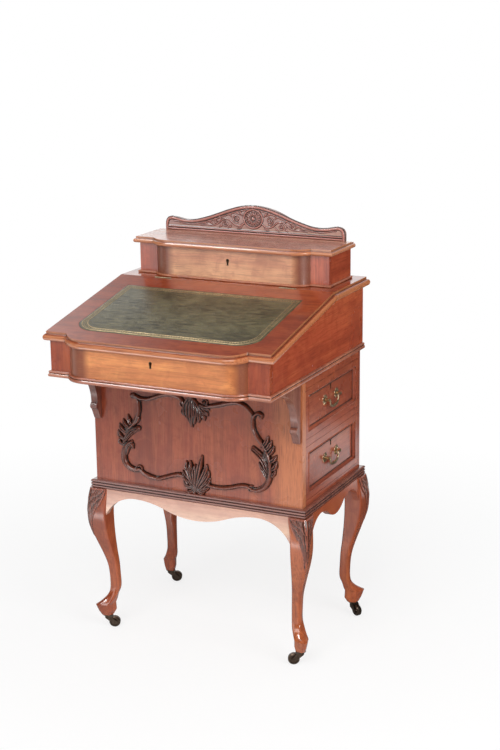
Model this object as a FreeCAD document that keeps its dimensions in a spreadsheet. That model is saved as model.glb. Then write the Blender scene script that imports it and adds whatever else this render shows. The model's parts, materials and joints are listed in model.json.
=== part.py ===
import FreeCAD, Part
import math
import os
import re
from FreeCAD import Placement, Rotation, Vector
import Sketcher

# A davenport desk: a stand on casters, a case with two side drawers, a writing box with a
# sloping lid, and a stationery box with a gallery.  Millimetres, +X to the right of the
# sitter, +Y to the back, +Z up, with the origin on the floor under the middle of the desk.

SIZES = {
    # stand and casters
    "caster_height": 33,
    "leg_height": 326,
    "foot_inset": 10,
    "leg_top_reach": 26,
    "leg_top_back": 33,
    "knee_height": 259,
    "knee_reach": 37.5,
    "knee_back": 23,
    "knee_width": 55,
    "ankle_height": 89,
    "ankle_setback": 22,
    "ankle_depth": 27,
    "ankle_width": 26,
    "instep_height": 70,
    "toe_height": 28,
    "toe_reach": 29,
    "heel_reach": 21,
    "foot_width": 34,
    "pad_height": 11,
    "pad_reach": 22,
    "pad_width": 31,
    "sole_reach": 15,
    "sole_width": 25,
    "arris_radius": 5,
    "ankle_radius": 8,
    "apron_thickness": 16,
    "apron_proud": 10,
    "apron_arch": 14,
    "apron_drop": 44,
    "front_ear_run": 81,
    "front_ear_radius": 90,
    "side_ear_run": 58,
    "side_ear_radius": 60,
    "base_height": 20,
    "base_overhang": 11,
    "base_inside": 30,
    "reed_depth": 3.5,
    "socket_radius": 12,
    "socket_height": 2.5,
    "stem_radius": 4,
    "stem_length": 20,
    "pintle_radius": 3,
    "pintle_length": 6.5,
    "horn_height": 6,
    "horn_radius": 8,
    "wheel_radius": 13.5,
    "wheel_width": 13,
    "wheel_trail": 16,
    "hub_radius": 5.5,
    "rim_radius": 9.8,
    "rim_bevel": 0.7,
    "wheel_dish": 1.6,
    "tread_bevel": 2.7,
    "axle_radius": 2.5,
    "cheek_thickness": 2.5,
    "cheek_radius": 5,
    # case and drawers
    "case_inset": 15,
    "case_depth": 335,
    "case_height": 290,
    "case_setback": 24,
    "front_thickness": 18,
    "back_thickness": 12,
    "bottom_thickness": 6,
    "bottom_rail": 12,
    "drawer_difference": 8,
    "middle_rail": 16,
    "top_rail": 19,
    "drawer_front_thickness": 18,
    "sham_thickness": 14,
    "left_thickness": 10,
    "drawer_wall": 9,
    "drawer_floor": 5,
    "floor_lift": 6,
    "drawer_back_space": 6,
    "side_lower": 8,
    "runner_width": 16,
    "runner_height": 10,
    "field_border": 16,
    "field_slope": 7,
    "field_recess": 5.5,
    "drawer_lock_width": 44,
    "drawer_lock_height": 34,
    "lock_thickness": 9,
    "keyhole_drop": 9,
    "lid_keyhole_drop": 19,
    "upper_keyhole_drop": 23,
    "keyhole_radius": 3.2,
    "keyhole_slot": 3.4,
    "keyhole_length": 11,
    "handle_rise": 4,
    "post_spacing": 66,
    "rosette_radius": 10,
    "rosette_rim": 1.2,
    "rosette_dome": 6,
    "rosette_height": 3,
    "post_neck": 3,
    "post_radius": 4,
    "post_length": 13,
    "post_tip": 1.5,
    "pivot_stand": 9,
    "bail_radius": 2.3,
    "bail_half": 23.5,
    "bail_bend": 5,
    "bail_corner": 13,
    "bail_drop": 20,
    "bracket_width": 17,
    "bracket_inset": 3,
    "bracket_reach": 110,
    "bracket_lip": 6,
    "cove_radius": 92,
    "scroll_radius": 8.4,
    "scroll_height": 16,
    "bracket_tail": 24,
    "tail_thickness": 7,
    "carving_depth": 10,
    "shell_depth": 12,
    "scroll_width": 9,
    # writing box and lid
    "desk_width": 560,
    "desk_depth": 542,
    "desk_overhang": 13,
    "flat_depth": 204,
    "slope_drop": 68.5,
    "lid_thickness": 21,
    "box_height": 136,
    "box_wall": 16,
    "box_front_wall": 20,
    "base_board_overhang": 6,
    "base_roll_height": 8.5,
    "base_roll_depth": 3,
    "base_reed_height": 5.5,
    "base_reed_depth": 1.8,
    "pilaster_width": 50,
    "bow_projection": 27,
    "bow_corner": 46,
    "thumb_depth": 4.5,
    "thumb_height": 14.5,
    "fillet_inset": 7,
    "fillet_rise": 0.8,
    "leather_margin": 57,
    "leather_thickness": 1.2,
    "leather_corner": 38,
    # stationery box
    "upper_inset": 36,
    "upper_depth": 127,
    "upper_setback": 34,
    "upper_height": 66.5,
    "upper_wall": 12,
    "upper_front_wall": 18,
    "upper_pilaster": 46,
    "upper_bow": 24,
    "upper_corner": 42,
    "bead_height": 5.5,
    "bead_depth": 2.75,
    "bead_overhang": 5,
    "upper_lid_thickness": 14.5,
    "upper_lid_overhang": 12,
    "upper_thumb_depth": 3,
    "upper_thumb_height": 9,
    "upper_fillet_inset": 5,
    "divider_thickness": 6,
    "divider_place": 82,
    "divider_lower": 14,
    "gallery_end_inset": 9.5,
    "gallery_housing": 2,
    "gallery_thickness": 10,
    "gallery_inset": 3,
    "gallery_height": 69,
    "gallery_end": 31,
    "gallery_end_radius": 16,
    "gallery_dip": 26,
    "gallery_dip_inset": 62.5,
    # hinges and locks of the two lids
    "hinge_place": 160,
    "hinge_length": 42,
    "hinge_leaf_depth": 10,
    "hinge_leaf": 1.4,
    "knuckle_radius": 2.2,
    "pin_radius": 1.1,
    "lid_lock_width": 46,
    "lid_lock_height": 29,
    "lid_lock_rise": 7,
    "upper_lock_rise": 15,
    # clearances
    "running_gap": 0.3,
    "drawer_gap": 0.8,
    "shaft_gap": 0.05,
    "wheel_gap": 0.6,
}

PLACES = {
    "leg_top": "caster_height + leg_height",
    "case_floor": "leg_top + base_height",
    "case_top": "case_floor + case_height",
    "box_floor": "case_top + base_roll_height + base_reed_height",
    "flat_under": "box_floor + box_height",
    "flat_level": "flat_under + lid_thickness",
    "plan_depth": "flat_depth + (slope_length + bow_projection) * slope_run / slope_length"
                  " - (lid_thickness - thumb_height / 2) * slope_drop / slope_length",
    "desk_back": "plan_depth / 2",
    "desk_front": "desk_back - desk_depth",
    "hinge_line": "desk_back - flat_depth",
    "case_half": "desk_width / 2 - case_inset",
    "case_back": "desk_back - case_setback",
    "case_front": "case_back - case_depth",
    "foot_x": "case_half - foot_inset",
    "foot_front": "case_front + foot_inset",
    "foot_back": "case_back - foot_inset",
    "case_inner_front": "case_front + front_thickness",
    "case_inner_back": "case_back - back_thickness",
    "case_middle": "(case_inner_front + case_inner_back) / 2",
    "front_apron_half": "foot_x - leg_top_back / 2",
    "front_arch_span": "front_apron_half - front_ear_run",
    "side_apron_half": "(foot_back - foot_front) / 2 - leg_top_back / 2",
    "side_arch_span": "side_apron_half - side_ear_run",
    "drawer_room": "case_height - bottom_rail - middle_rail - top_rail",
    "lower_low": "case_floor + bottom_rail",
    "lower_high": "lower_low + (drawer_room + drawer_difference) / 2",
    "upper_low": "lower_high + middle_rail",
    "upper_high": "case_top - top_rail",
    "left_inner": "-case_half + sham_thickness + left_thickness",
    "drawer_inner": "case_half - drawer_front_thickness",
    "box_half": "desk_width / 2 - desk_overhang",
    "box_front": "desk_front + desk_overhang",
    "box_back": "desk_back - desk_overhang",
    "box_inner_half": "box_half - box_wall",
    "box_inner_front": "box_front + box_wall",
    "slope_run": "desk_depth - flat_depth",
    "slope_length": "sqrt(slope_run ^ 2 + slope_drop ^ 2)",
    "slope_angle": "atan(slope_drop / slope_run)",
    "bow_flat": "box_half - pilaster_width - bow_corner",
    "lid_eye": "flat_level - slope_drop - lid_thickness - lid_keyhole_drop",
    "lid_lock_wall": "box_front - bow_projection + box_front_wall",
    "upper_half": "desk_width / 2 - upper_inset",
    "upper_floor": "flat_level + bead_height",
    "upper_top": "upper_floor + upper_height",
    "upper_lid_under": "upper_top + 2 * running_gap",
    "upper_lid_top": "upper_lid_under + upper_lid_thickness",
    "upper_back": "desk_back - upper_setback",
    "upper_front": "upper_back - upper_depth",
    "upper_inner_front": "upper_front + upper_wall",
    "upper_bow_flat": "upper_half - upper_pilaster - upper_corner",
    "upper_eye": "upper_top - upper_keyhole_drop",
    "upper_lock_wall": "upper_front - upper_bow + upper_front_wall",
    "gallery_half": "upper_half - gallery_end_inset",
    "gallery_dip_place": "gallery_half - gallery_dip_inset",
}

WORD = re.compile(r"[a-z][a-z_]*")
EDGE_STEPS = 6
doc = FreeCAD.newDocument("davenport_desk")
sheet = doc.addObject("Spreadsheet::Sheet", "Sizes")
for row, (alias, number) in enumerate(SIZES.items(), start=1):
    sheet.set(f"A{row}", alias)
    sheet.set(f"B{row}", str(number))
    sheet.setAlias(f"B{row}", alias)
doc.recompute()
nodes = []


def formula(text):
    """Write a length given in the names of sizes and places as an expression on the sheet."""
    def cell(match):
        word = match.group()
        if word in SIZES:
            return "Sizes." + word
        if word in PLACES:
            return "(" + formula(PLACES[word]) + ")"
        return word
    return WORD.sub(cell, text)


def value(text):
    """Work out such a length as a number, from the sheet's cells."""
    result = sheet.evalExpression(formula(text))
    return float(getattr(result, "Value", result))


def node(label, thing):
    """Keep an object as a piece of the desk, under its own label."""
    thing.Label = label
    nodes.append(thing)
    return thing


def place(thing, x, y, z, rotation=None):
    """Put an object at a place given in formulas."""
    if rotation is not None:
        thing.Placement = Placement(Vector(), rotation)
    for axis, text in zip("xyz", (x, y, z)):
        thing.setExpression(f"Placement.Base.{axis}", formula(text))
    return thing


FRONT_VIEW = Rotation(Vector(1, 0, 0), 90)
SIDE_VIEW = Rotation(Vector(1, 1, 1), 120)
TURNED = Rotation(Vector(0, 0, 1), 180)


def board(name, x, y, z):
    """A plain board between two places along each axis."""
    box = doc.addObject("Part::Box", name)
    for size, axis, (low, high) in zip(("Length", "Width", "Height"), "xyz", (x, y, z)):
        box.setExpression(size, formula(f"({high}) - ({low})"))
        box.setExpression(f"Placement.Base.{axis}", formula(low))
    return box


def cylinder(name, radius, height):
    """A round bar along its own Z axis."""
    bar = doc.addObject("Part::Cylinder", name)
    bar.setExpression("Radius", formula(radius))
    bar.setExpression("Height", formula(height))
    return bar


def cut(name, base, *tools):
    """Take each tool away from the base."""
    for number, tool in enumerate(tools, start=1):
        step = doc.addObject("Part::Cut", f"{name}_cut{number}")
        step.Base = base
        step.Tool = tool
        base = step
    return base


def group(name, *shapes):
    """Keep like pieces together as separate solids."""
    together = doc.addObject("Part::Compound", name)
    together.Links = list(shapes)
    return together


def formed(name, shape, placement=None):
    """Keep a shape made by lofting, sweeping or turning."""
    piece = doc.addObject("Part::Feature", name)
    piece.Shape = shape
    if placement is not None:
        piece.Placement = placement
    return piece


class Outline:
    """A closed outline: corners in formulas, joined by straight runs and arcs."""

    def __init__(self, x, y):
        self.corners = [(x, y)]
        self.runs = []

    def line(self, x, y):
        self.runs.append(None)
        self.corners.append((x, y))
        return self

    def arc(self, x, y, radius, turn):
        """An arc to a corner; turn is 1 for counterclockwise and -1 for clockwise."""
        self.runs.append((radius, turn))
        self.corners.append((x, y))
        return self

    def close(self):
        self.runs.append(None)
        return self


def arc_between(start, end, radius, turn):
    """The short arc of a radius between two points, as a counterclockwise sketch arc."""
    chord = end - start
    half = chord.Length / 2
    height = math.sqrt(max(radius * radius - half * half, 0))
    normal = Vector(-chord.y, chord.x, 0).normalize() * turn
    centre = (start + end) / 2 + normal * height
    first, last = (start, end) if turn > 0 else (end, start)
    low = math.atan2(first.y - centre.y, first.x - centre.x)
    high = math.atan2(last.y - centre.y, last.x - centre.x)
    circle = Part.Circle(centre, Vector(0, 0, 1), radius)
    return Part.ArcOfCircle(circle, low, high if high > low else high + 2 * math.pi)


def draw(sketch, outline):
    """Draw an outline in a sketch, with every corner and radius bound to the sheet."""
    spots = [Vector(value(x), value(y), 0) for x, y in outline.corners]
    count = len(outline.runs)
    ends = []
    for index, run in enumerate(outline.runs):
        start, end = spots[index], spots[(index + 1) % count]
        if run is None:
            sketch.addGeometry(Part.LineSegment(start, end), False)
        else:
            sketch.addGeometry(arc_between(start, end, value(run[0]), run[1]), False)
        ends.append((1, 2) if run is None or run[1] > 0 else (2, 1))
    for index in range(count):
        following = (index + 1) % count
        sketch.addConstraint(Sketcher.Constraint(
            "Coincident", index, ends[index][1], following, ends[following][0]))
    for index, (x, y) in enumerate(outline.corners[:count]):
        for kind, text in (("DistanceX", x), ("DistanceY", y)):
            number = sketch.addConstraint(Sketcher.Constraint(
                kind, -1, 1, index, ends[index][0], value(text)))
            sketch.setExpression(f"Constraints[{number}]", formula(text))
    for index, run in enumerate(outline.runs):
        if run is not None:
            number = sketch.addConstraint(Sketcher.Constraint("Radius", index, value(run[0])))
            sketch.setExpression(f"Constraints[{number}]", formula(run[0]))


def sketched_body(name, outline):
    """A body with one sketch on its own XY plane."""
    body = doc.addObject("PartDesign::Body", name)
    plane = next(item for item in body.Origin.OriginFeatures if item.Role == "XY_Plane")
    sketch = body.newObject("Sketcher::SketchObject", name + "_sketch")
    sketch.AttachmentSupport = [(plane, "")]
    sketch.MapMode = "FlatFace"
    draw(sketch, outline)
    return body, sketch


def padded(name, outline, thickness):
    """An outline padded along its own Z axis."""
    body, sketch = sketched_body(name, outline)
    pad = body.newObject("PartDesign::Pad", name + "_pad")
    pad.Profile = sketch
    pad.setExpression("Length", formula(thickness))
    return body


def turned(name, outline):
    """An outline turned round the sketch's Y axis."""
    body, sketch = sketched_body(name, outline)
    turning = body.newObject("PartDesign::Revolution", name + "_turning")
    turning.Profile = sketch
    turning.ReferenceAxis = (sketch, ["V_Axis"])
    turning.Angle = 360
    return body


def polygon(points):
    """A closed wire of straight runs."""
    return Part.makePolygon(list(points) + [points[0]])


def breakfront(half, front, back, flat, projection, corner, grow, level):
    """A plan outline with a bowed middle between flat ends, grown outwards by a margin."""
    radius = (corner ** 2 + projection ** 2) / (2 * projection) + grow
    run = math.sqrt(projection * (2 * radius - projection))
    near, far = front - grow, front - projection - grow
    slant = math.asin(run / radius) / 2
    middle = Vector(flat + radius * math.sin(slant), far + radius * (1 - math.cos(slant)), level)
    inner = [Vector(flat + run, near, level), middle, Vector(flat, far, level)]
    mirror = [Vector(-spot.x, spot.y, spot.z) for spot in inner]
    side = half + grow
    spots = [Vector(-side, back, level), Vector(-side, near, level), mirror[0]]
    ends = [inner[0], Vector(side, near, level), Vector(side, back, level)]
    edges = [Part.makeLine(spots[0], spots[1]), Part.makeLine(spots[1], spots[2]),
             Part.Arc(mirror[0], mirror[1], mirror[2]).toShape(),
             Part.makeLine(mirror[2], inner[2]),
             Part.Arc(inner[2], inner[1], inner[0]).toShape(),
             Part.makeLine(ends[0], ends[1]), Part.makeLine(ends[1], ends[2]),
             Part.makeLine(ends[2], spots[0])]
    return Part.Wire(edges)


def round_edge(height, depth, level=0):
    """Offsets and heights up a rounded edge that is widest at its middle."""
    steps = []
    for number in range(EDGE_STEPS + 1):
        angle = math.pi * (number / EDGE_STEPS - 0.5)
        steps.append((depth * (math.cos(angle) - 1), level + height * (1 + math.sin(angle)) / 2))
    return steps


def reeds(*heights_and_depths):
    """Rounded edges one above another that meet in their grooves."""
    groove = max(depth for height, depth in heights_and_depths)
    steps, level = [], 0
    for height, depth in heights_and_depths:
        reed = [(offset + depth - groove, rise) for offset, rise in round_edge(height, depth, level)]
        steps += reed[1:] if steps else reed
        level += height
    return steps


def thumb_edge(total, height, depth, inset):
    """A thumb moulding with a fillet set back above it."""
    shoulder = height + value("fillet_rise")
    return round_edge(height, depth) + [(-inset, shoulder), (-inset, total)]


def leg_section(level, reach, back, width, radius):
    """A four-sided leg section with rounded corners, with its long axis along +X and +Y."""
    out, across = Vector(1, 1, 0).normalize(), Vector(-1, 1, 0).normalize()
    middle = out * ((reach + back) / 2) + Vector(0, 0, level)
    long, wide = out * ((reach - back) / 2 - radius), across * (width / 2 - radius)
    centres = [middle + long, middle + wide, middle - long, middle - wide]
    normals = []
    for index, centre in enumerate(centres):
        run = (centres[(index + 1) % 4] - centre).normalize()
        normals.append(Vector(run.y, -run.x, 0) * radius)
    edges = []
    for index, centre in enumerate(centres):
        last, following = normals[index - 1], normals[index]
        tip = (last + following).normalize() * radius
        edges.append(Part.Arc(centre + last, centre + tip, centre + following).toShape())
        edges.append(Part.makeLine(centre + following, centres[(index + 1) % 4] + following))
    return Part.Wire(edges)


def leg_shape():
    """A cabriole leg standing on its foot's axis: knee and toe along +X and +Y."""
    top, knee = value("leg_height"), value("knee_height")
    ankle, instep, toe = value("ankle_height"), value("instep_height"), value("toe_height")
    arris, round_ankle = value("arris_radius"), value("ankle_radius")
    ankle_reach = value("ankle_depth / 2 - ankle_setback")
    ankle_back = value("-ankle_depth / 2 - ankle_setback")
    top_width = value("leg_top_reach + leg_top_back")
    sections = [leg_section(top, value("leg_top_reach"), value("-leg_top_back"), top_width, arris)]
    for share in (0.4, 0.7, 1.0):
        swell = math.sin(share * math.pi / 2)
        sections.append(leg_section(
            top + (knee - top) * share,
            value("leg_top_reach") + value("knee_reach - leg_top_reach") * swell,
            -value("leg_top_back") - value("knee_back - leg_top_back") * swell,
            top_width + (value("knee_width") - top_width) * swell, arris))
    for share in (0.16, 0.32, 0.48, 0.64, 0.82, 1.0):
        fall = (1 - math.cos(share * math.pi)) / 2
        slim = 1 - (1 - fall) ** 1.3
        centre = value("knee_reach - knee_back") / 2
        centre += (value("-ankle_setback") - centre) * fall
        depth = value("knee_reach + knee_back")
        depth += (value("ankle_depth") - depth) * slim
        width = value("knee_width") + value("ankle_width - knee_width") * slim
        sections.append(leg_section(knee + (ankle - knee) * share, centre + depth / 2,
                                    centre - depth / 2, width,
                                    arris + (round_ankle - arris) * fall))
    for share in (0.0, 0.35, 0.65, 0.85, 1.0):
        width = value("ankle_width") + value("foot_width - ankle_width") * share
        sections.append(leg_section(instep + (toe - instep) * share,
                                    ankle_reach + (value("toe_reach") - ankle_reach) * share ** 2.4,
                                    ankle_back + (value("-heel_reach") - ankle_back) * share,
                                    width, round_ankle))
    upper = Part.makeLoft(sections, True, False)
    sole = leg_section(0, value("sole_reach"), value("-sole_reach"), value("sole_width"), round_ankle)
    pad = leg_section(value("pad_height"), value("pad_reach"), value("-pad_reach"),
                      value("pad_width"), round_ankle)
    lower = Part.makeLoft([sole, pad, sections[-1]], True, True)
    leg = upper.fuse(lower).removeSplitter()
    bore = Part.makeCylinder(value("stem_radius"), value("stem_length"))
    return leg.cut(bore)


def stand():
    """Four legs, the aprons between them and the reeded moulding on top."""
    blank = leg_shape()
    legs = {}
    for end, y in (("front", "foot_front"), ("back", "foot_back")):
        for side, sign in (("left", -1), ("right", 1)):
            shape = blank
            if sign < 0:
                shape = shape.mirror(Vector(), Vector(1, 0, 0))
            if end == "front":
                shape = shape.mirror(Vector(), Vector(0, 1, 0))
            spot = Vector(sign * value("foot_x"), value(y), value("caster_height"))
            leg = formed(f"leg_{end}_{side}", shape, Placement(spot, Rotation()))
            legs[end, side] = node(f"leg_{end}_{side}", leg)
    aprons(legs)
    base_moulding()


def apron_outline(half, span, ear):
    """A rail with a lobe in the middle, an arch on each side of it and ears at its ends."""
    lobe = "(apron_drop - apron_arch)"
    swing = f"((({span}) / 2) ^ 2 + ({lobe} / 2) ^ 2) / {lobe}"
    fall = f"-apron_arch - ({ear} - sqrt({ear} ^ 2 - ({half} - {span}) ^ 2))"
    waist = "-(apron_drop + apron_arch) / 2"
    shape = Outline(f"-({half})", "0").line(f"-({half})", fall)
    shape.arc(f"-({span})", "-apron_arch", ear, -1)
    shape.arc(f"-({span}) / 2", waist, swing, -1)
    shape.arc(f"({span}) / 2", waist, swing, 1)
    shape.arc(span, "-apron_arch", swing, -1)
    shape.arc(half, fall, ear, -1)
    return shape.line(half, "0").close()


def aprons(legs):
    """Shaped rails under the moulding, cut to the legs that they meet."""
    rails = {}
    for end, y in (("front", "case_front - apron_proud + apron_thickness"),
                   ("back", "case_back + apron_proud")):
        blank = padded(f"{end}_rail", apron_outline("front_apron_half", "front_arch_span",
                                                    "front_ear_radius"), "apron_thickness")
        place(blank, "0", y, "leg_top", FRONT_VIEW)
        rails[end] = cut(f"{end}_rail", blank, legs[end, "left"], legs[end, "right"])
        node(f"{end}_apron", rails[end])
    for side, x in (("left", "-case_half - apron_proud"),
                    ("right", "case_half + apron_proud - apron_thickness")):
        blank = padded(f"{side}_rail", apron_outline("side_apron_half", "side_arch_span",
                                                     "side_ear_radius"), "apron_thickness")
        place(blank, x, "(foot_front + foot_back) / 2", "leg_top", SIDE_VIEW)
        rails[side] = cut(f"{side}_rail", blank, legs["front", side], legs["back", side])
    node("side_aprons", group("side_rails", rails["left"], rails["right"]))


def base_moulding():
    """Four mitred lengths of a moulding with three reeds."""
    reed = (value("base_height / 3"), value("reed_depth"))
    profile = [(value("base_overhang") + offset, level) for offset, level in reeds(reed, reed, reed)]
    profile += [(-value("base_inside"), value("base_height")), (-value("base_inside"), 0)]
    half, front, back = value("case_half"), value("case_front"), value("case_back")
    floor = value("leg_top")

    def end(side, depth):
        edge = front if depth < 0 else back
        return polygon([Vector(side * (half + out), edge + depth * out, floor + level)
                        for out, level in profile])

    corners = [(-1, -1), (1, -1), (1, 1), (-1, 1)]
    lengths = []
    for index, corner in enumerate(corners):
        following = corners[(index + 1) % 4]
        strip = Part.makeLoft([end(*corner), end(*following)], True, True)
        lengths.append(formed(f"base_length{index}", strip))
    node("base_moulding", group("base_lengths", *lengths))


def casters():
    """Sockets in the feet, swivelling horns with their axles, and wheels."""
    sockets = []
    profile = Outline("0", "-pintle_length - socket_height")
    profile.line("pintle_radius", "-pintle_length - socket_height")
    profile.line("pintle_radius", "-socket_height").line("socket_radius", "-socket_height")
    profile.line("socket_radius", "0").line("stem_radius", "0")
    profile.line("stem_radius", "stem_length").line("0", "stem_length").close()
    for end, y in (("front", "foot_front"), ("back", "foot_back")):
        for side, sign in (("left", "-"), ("right", "")):
            socket = turned(f"socket_{end}_{side}", profile)
            sockets.append(place(socket, f"{sign}foot_x", y, "caster_height", FRONT_VIEW))
            trail = Rotation(Vector(0, 0, 1), TRAILS[end, side])
            horn = node(f"caster_horn_{end}_{side}", formed(f"horn_{end}_{side}", horn_shape()))
            place(horn, f"{sign}foot_x", y, "0", trail)
            wheel = node(f"caster_wheel_{end}_{side}", formed(f"wheel_{end}_{side}", wheel_shape()))
            place(wheel, f"{sign}foot_x", y, "0", trail)
    node("caster_sockets", group("sockets", *sockets))


# The way each caster trails from its stem, in degrees from +X, as it was left standing.
TRAILS = {("front", "left"): 25, ("front", "right"): 205,
          ("back", "left"): 25, ("back", "right"): -30}


def horn_shape():
    """A horn on its pintle's axis, trailing along +X, with the wheel's axle riveted in."""
    top = value("caster_height - socket_height - running_gap")
    low = top - value("horn_height")
    boss = value("horn_radius")
    trail, hub = value("wheel_trail"), value("wheel_radius")
    cheek = value("cheek_radius")
    half = value("wheel_width / 2 + wheel_gap + cheek_thickness")
    outline = [Vector(-boss, -half, top), Vector(boss, -half, top),
               Vector(trail + cheek, -half, hub), Vector(trail - cheek, -half, hub),
               Vector(-boss, -half, low)]
    plate = Part.Face(polygon(outline)).extrude(Vector(0, 2 * half, 0))
    across = Vector(0, 1, 0)
    ears = Part.makeCylinder(cheek, 2 * half, Vector(trail, -half, hub), across)
    clear = value("wheel_width / 2 + wheel_gap")
    room = Part.makeCylinder(hub + value("wheel_gap"), 2 * clear, Vector(trail, -clear, hub), across)
    neck = Part.makeCylinder(boss, top)
    below = Part.makeBox(4 * boss, 2 * half, low, Vector(-2 * boss, -half, 0))
    body = plate.common(neck.fuse(Part.makeBox(2 * hub + trail, 2 * half, top, Vector(0, -half, 0))))
    body = body.fuse(neck.cut(below)).fuse(ears).cut(room)
    axle = Part.makeCylinder(value("axle_radius"), 2 * half, Vector(trail, -half, hub), across)
    bore = Part.makeCylinder(value("pintle_radius + shaft_gap"), 2 * top)
    return body.fuse(axle).removeSplitter().cut(bore)


def wheel_shape():
    """A wheel with bevelled treads and a raised hub, on the axle of its horn."""
    radius, half = value("wheel_radius"), value("wheel_width") / 2
    bore, tread = value("axle_radius + shaft_gap"), value("tread_bevel")
    hub, rim, bevel = value("hub_radius"), value("rim_radius"), value("rim_bevel")
    dish = value("wheel_dish") - half
    profile = [(bore, -half), (hub, -half), (hub + bevel, dish), (rim - bevel, dish),
               (rim, -half), (radius - tread, -half), (radius, tread - half)]
    profile += [(reach, -across) for reach, across in reversed(profile)]
    axis = Vector(value("wheel_trail"), 0, radius)
    face = Part.Face(polygon([axis + Vector(reach, across, 0) for reach, across in profile]))
    return face.revolve(axis, Vector(0, 1, 0), 360)


def case():
    """The case on the stand: panels, bottom, rails, runners and the sham fronts."""
    across = ("-case_half", "case_half")
    inside = ("case_inner_front", "case_inner_back")
    tall = ("case_floor", "case_top")
    node("back_panel", board("back_board", across, ("case_inner_back", "case_back"), tall))
    node("front_panel", board("front_board", across, ("case_front", "case_inner_front"), tall))
    node("left_panel", board("left_board", ("-case_half + sham_thickness", "left_inner"),
                             inside, tall))
    node("case_bottom", board("bottom_board", ("left_inner", "drawer_inner"), inside,
                              ("case_floor", "case_floor + bottom_thickness")))
    levels = {"bottom": ("case_floor", "lower_low"), "middle": ("lower_high", "upper_low"),
              "top": ("upper_high", "case_top")}
    sides = {"right": ("drawer_inner", "case_half"),
             "left": ("-case_half", "-case_half + sham_thickness")}
    rails = [board(f"{side}_{level}_rail", x, inside, z)
             for side, x in sides.items() for level, z in levels.items()]
    node("drawer_rails", group("rails", *rails))
    beds = {"lower": ("case_floor + bottom_thickness", "lower_low + drawer_gap - running_gap"),
            "upper": ("upper_low - runner_height", "upper_low + drawer_gap - running_gap")}
    walls = {"front": ("case_inner_front", "case_inner_front + runner_width"),
             "back": ("case_inner_back - runner_width", "case_inner_back")}
    runners = [board(f"{level}_{wall}_runner", ("left_inner", "drawer_inner"), y, z)
               for level, z in beds.items() for wall, y in walls.items()]
    node("drawer_runners", group("runners", *runners))
    shams = [drawer_front(f"{level}_sham", level, "left") for level in ("upper", "lower")]
    node("sham_drawer_fronts", group("shams", *shams))


def drawer_front(name, level, side):
    """A front with a sunk field and a keyhole, on the right or, as a sham, on the left."""
    low, high = f"{level}_low + drawer_gap", f"{level}_high - drawer_gap"
    gap = "drawer_gap"
    x = ("drawer_inner", "case_half")
    if side == "left":
        low, high, gap = f"{level}_low", f"{level}_high", "0"
        x = ("-case_half", "-case_half + sham_thickness")
    y = (f"case_inner_front + {gap}", f"case_inner_back - {gap}")
    blank = board(name + "_blank", x, y, (low, high))
    field = doc.addObject("Part::Wedge", name + "_field")
    length = f"({y[1]}) - ({y[0]}) - 2 * field_border"
    height = f"({high}) - ({low}) - 2 * field_border"
    for size, text in (("X2", length), ("Z2", height)):
        field.setExpression(size + "min", formula(f"-({text}) / 2"))
        field.setExpression(size + "max", formula(f"({text}) / 2"))
        field.setExpression(size[0] + "min", formula(f"-({text}) / 2 + field_slope"))
        field.setExpression(size[0] + "max", formula(f"({text}) / 2 - field_slope"))
    field.setExpression("Ymin", formula("-field_recess"))
    field.Ymax = 0
    turn = Rotation(Vector(0, 0, 1), 90 if side == "left" else -90)
    place(field, x[0] if side == "left" else x[1], "case_middle", f"(({low}) + ({high})) / 2", turn)
    if side == "left":
        return cut(name, blank, field)
    top = f"{high} - field_border - keyhole_drop"
    return cut(name, blank, field, *keyhole(name, "drawer_inner", "case_middle", top, SIDE_VIEW))


def keyhole(name, x, y, z, rotation):
    """A round hole with a slot under it, cut along the rotated Z axis."""
    eye = cylinder(name + "_eye", "keyhole_radius", "box_front_wall")
    place(eye, x, y, z, rotation)
    slot = doc.addObject("Part::Box", name + "_slot")
    sizes = {"Length": "keyhole_slot", "Width": "keyhole_length", "Height": "box_front_wall"}
    for size, text in sizes.items():
        slot.setExpression(size, formula(text))
    shift = ("-keyhole_slot / 2", "0") if rotation == FRONT_VIEW else ("0", "-keyhole_slot / 2")
    place(slot, f"({x}) + ({shift[0]})", f"({y}) + ({shift[1]})", f"({z}) - keyhole_length", rotation)
    return eye, slot


def drawers():
    """Two drawers that slide out to the right, each with its box, bottom and lock."""
    for level in ("upper", "lower"):
        node(f"{level}_drawer_front", drawer_front(f"{level}_front", level, "right"))
        low, high = f"{level}_low + drawer_gap", f"{level}_high - drawer_gap - side_lower"
        near, far = "case_inner_front + drawer_gap", "case_inner_back - drawer_gap"
        x = ("left_inner + drawer_back_space", "drawer_inner")
        walls = [board(f"{level}_near_wall", x, (near, f"{near} + drawer_wall"), (low, high)),
                 board(f"{level}_far_wall", x, (f"{far} - drawer_wall", far), (low, high)),
                 board(f"{level}_end_wall", (x[0], f"{x[0]} + drawer_wall"),
                       (f"{near} + drawer_wall", f"{far} - drawer_wall"), (low, high))]
        floor = board(f"{level}_floor", (f"{x[0]} + drawer_wall", x[1]),
                      (f"{near} + drawer_wall", f"{far} - drawer_wall"),
                      (f"{low} + floor_lift", f"{low} + floor_lift + drawer_floor"))
        node(f"{level}_drawer_box", group(f"{level}_boards", *walls, floor))
        middle = f"{level}_high - drawer_gap - field_border - keyhole_drop"
        node(f"{level}_drawer_lock", board(
            f"{level}_lock", ("drawer_inner - lock_thickness", "drawer_inner"),
            ("case_middle - drawer_lock_width / 2", "case_middle + drawer_lock_width / 2"),
            (f"{middle} - drawer_lock_height / 2", f"{middle} + drawer_lock_height / 2")))


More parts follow.
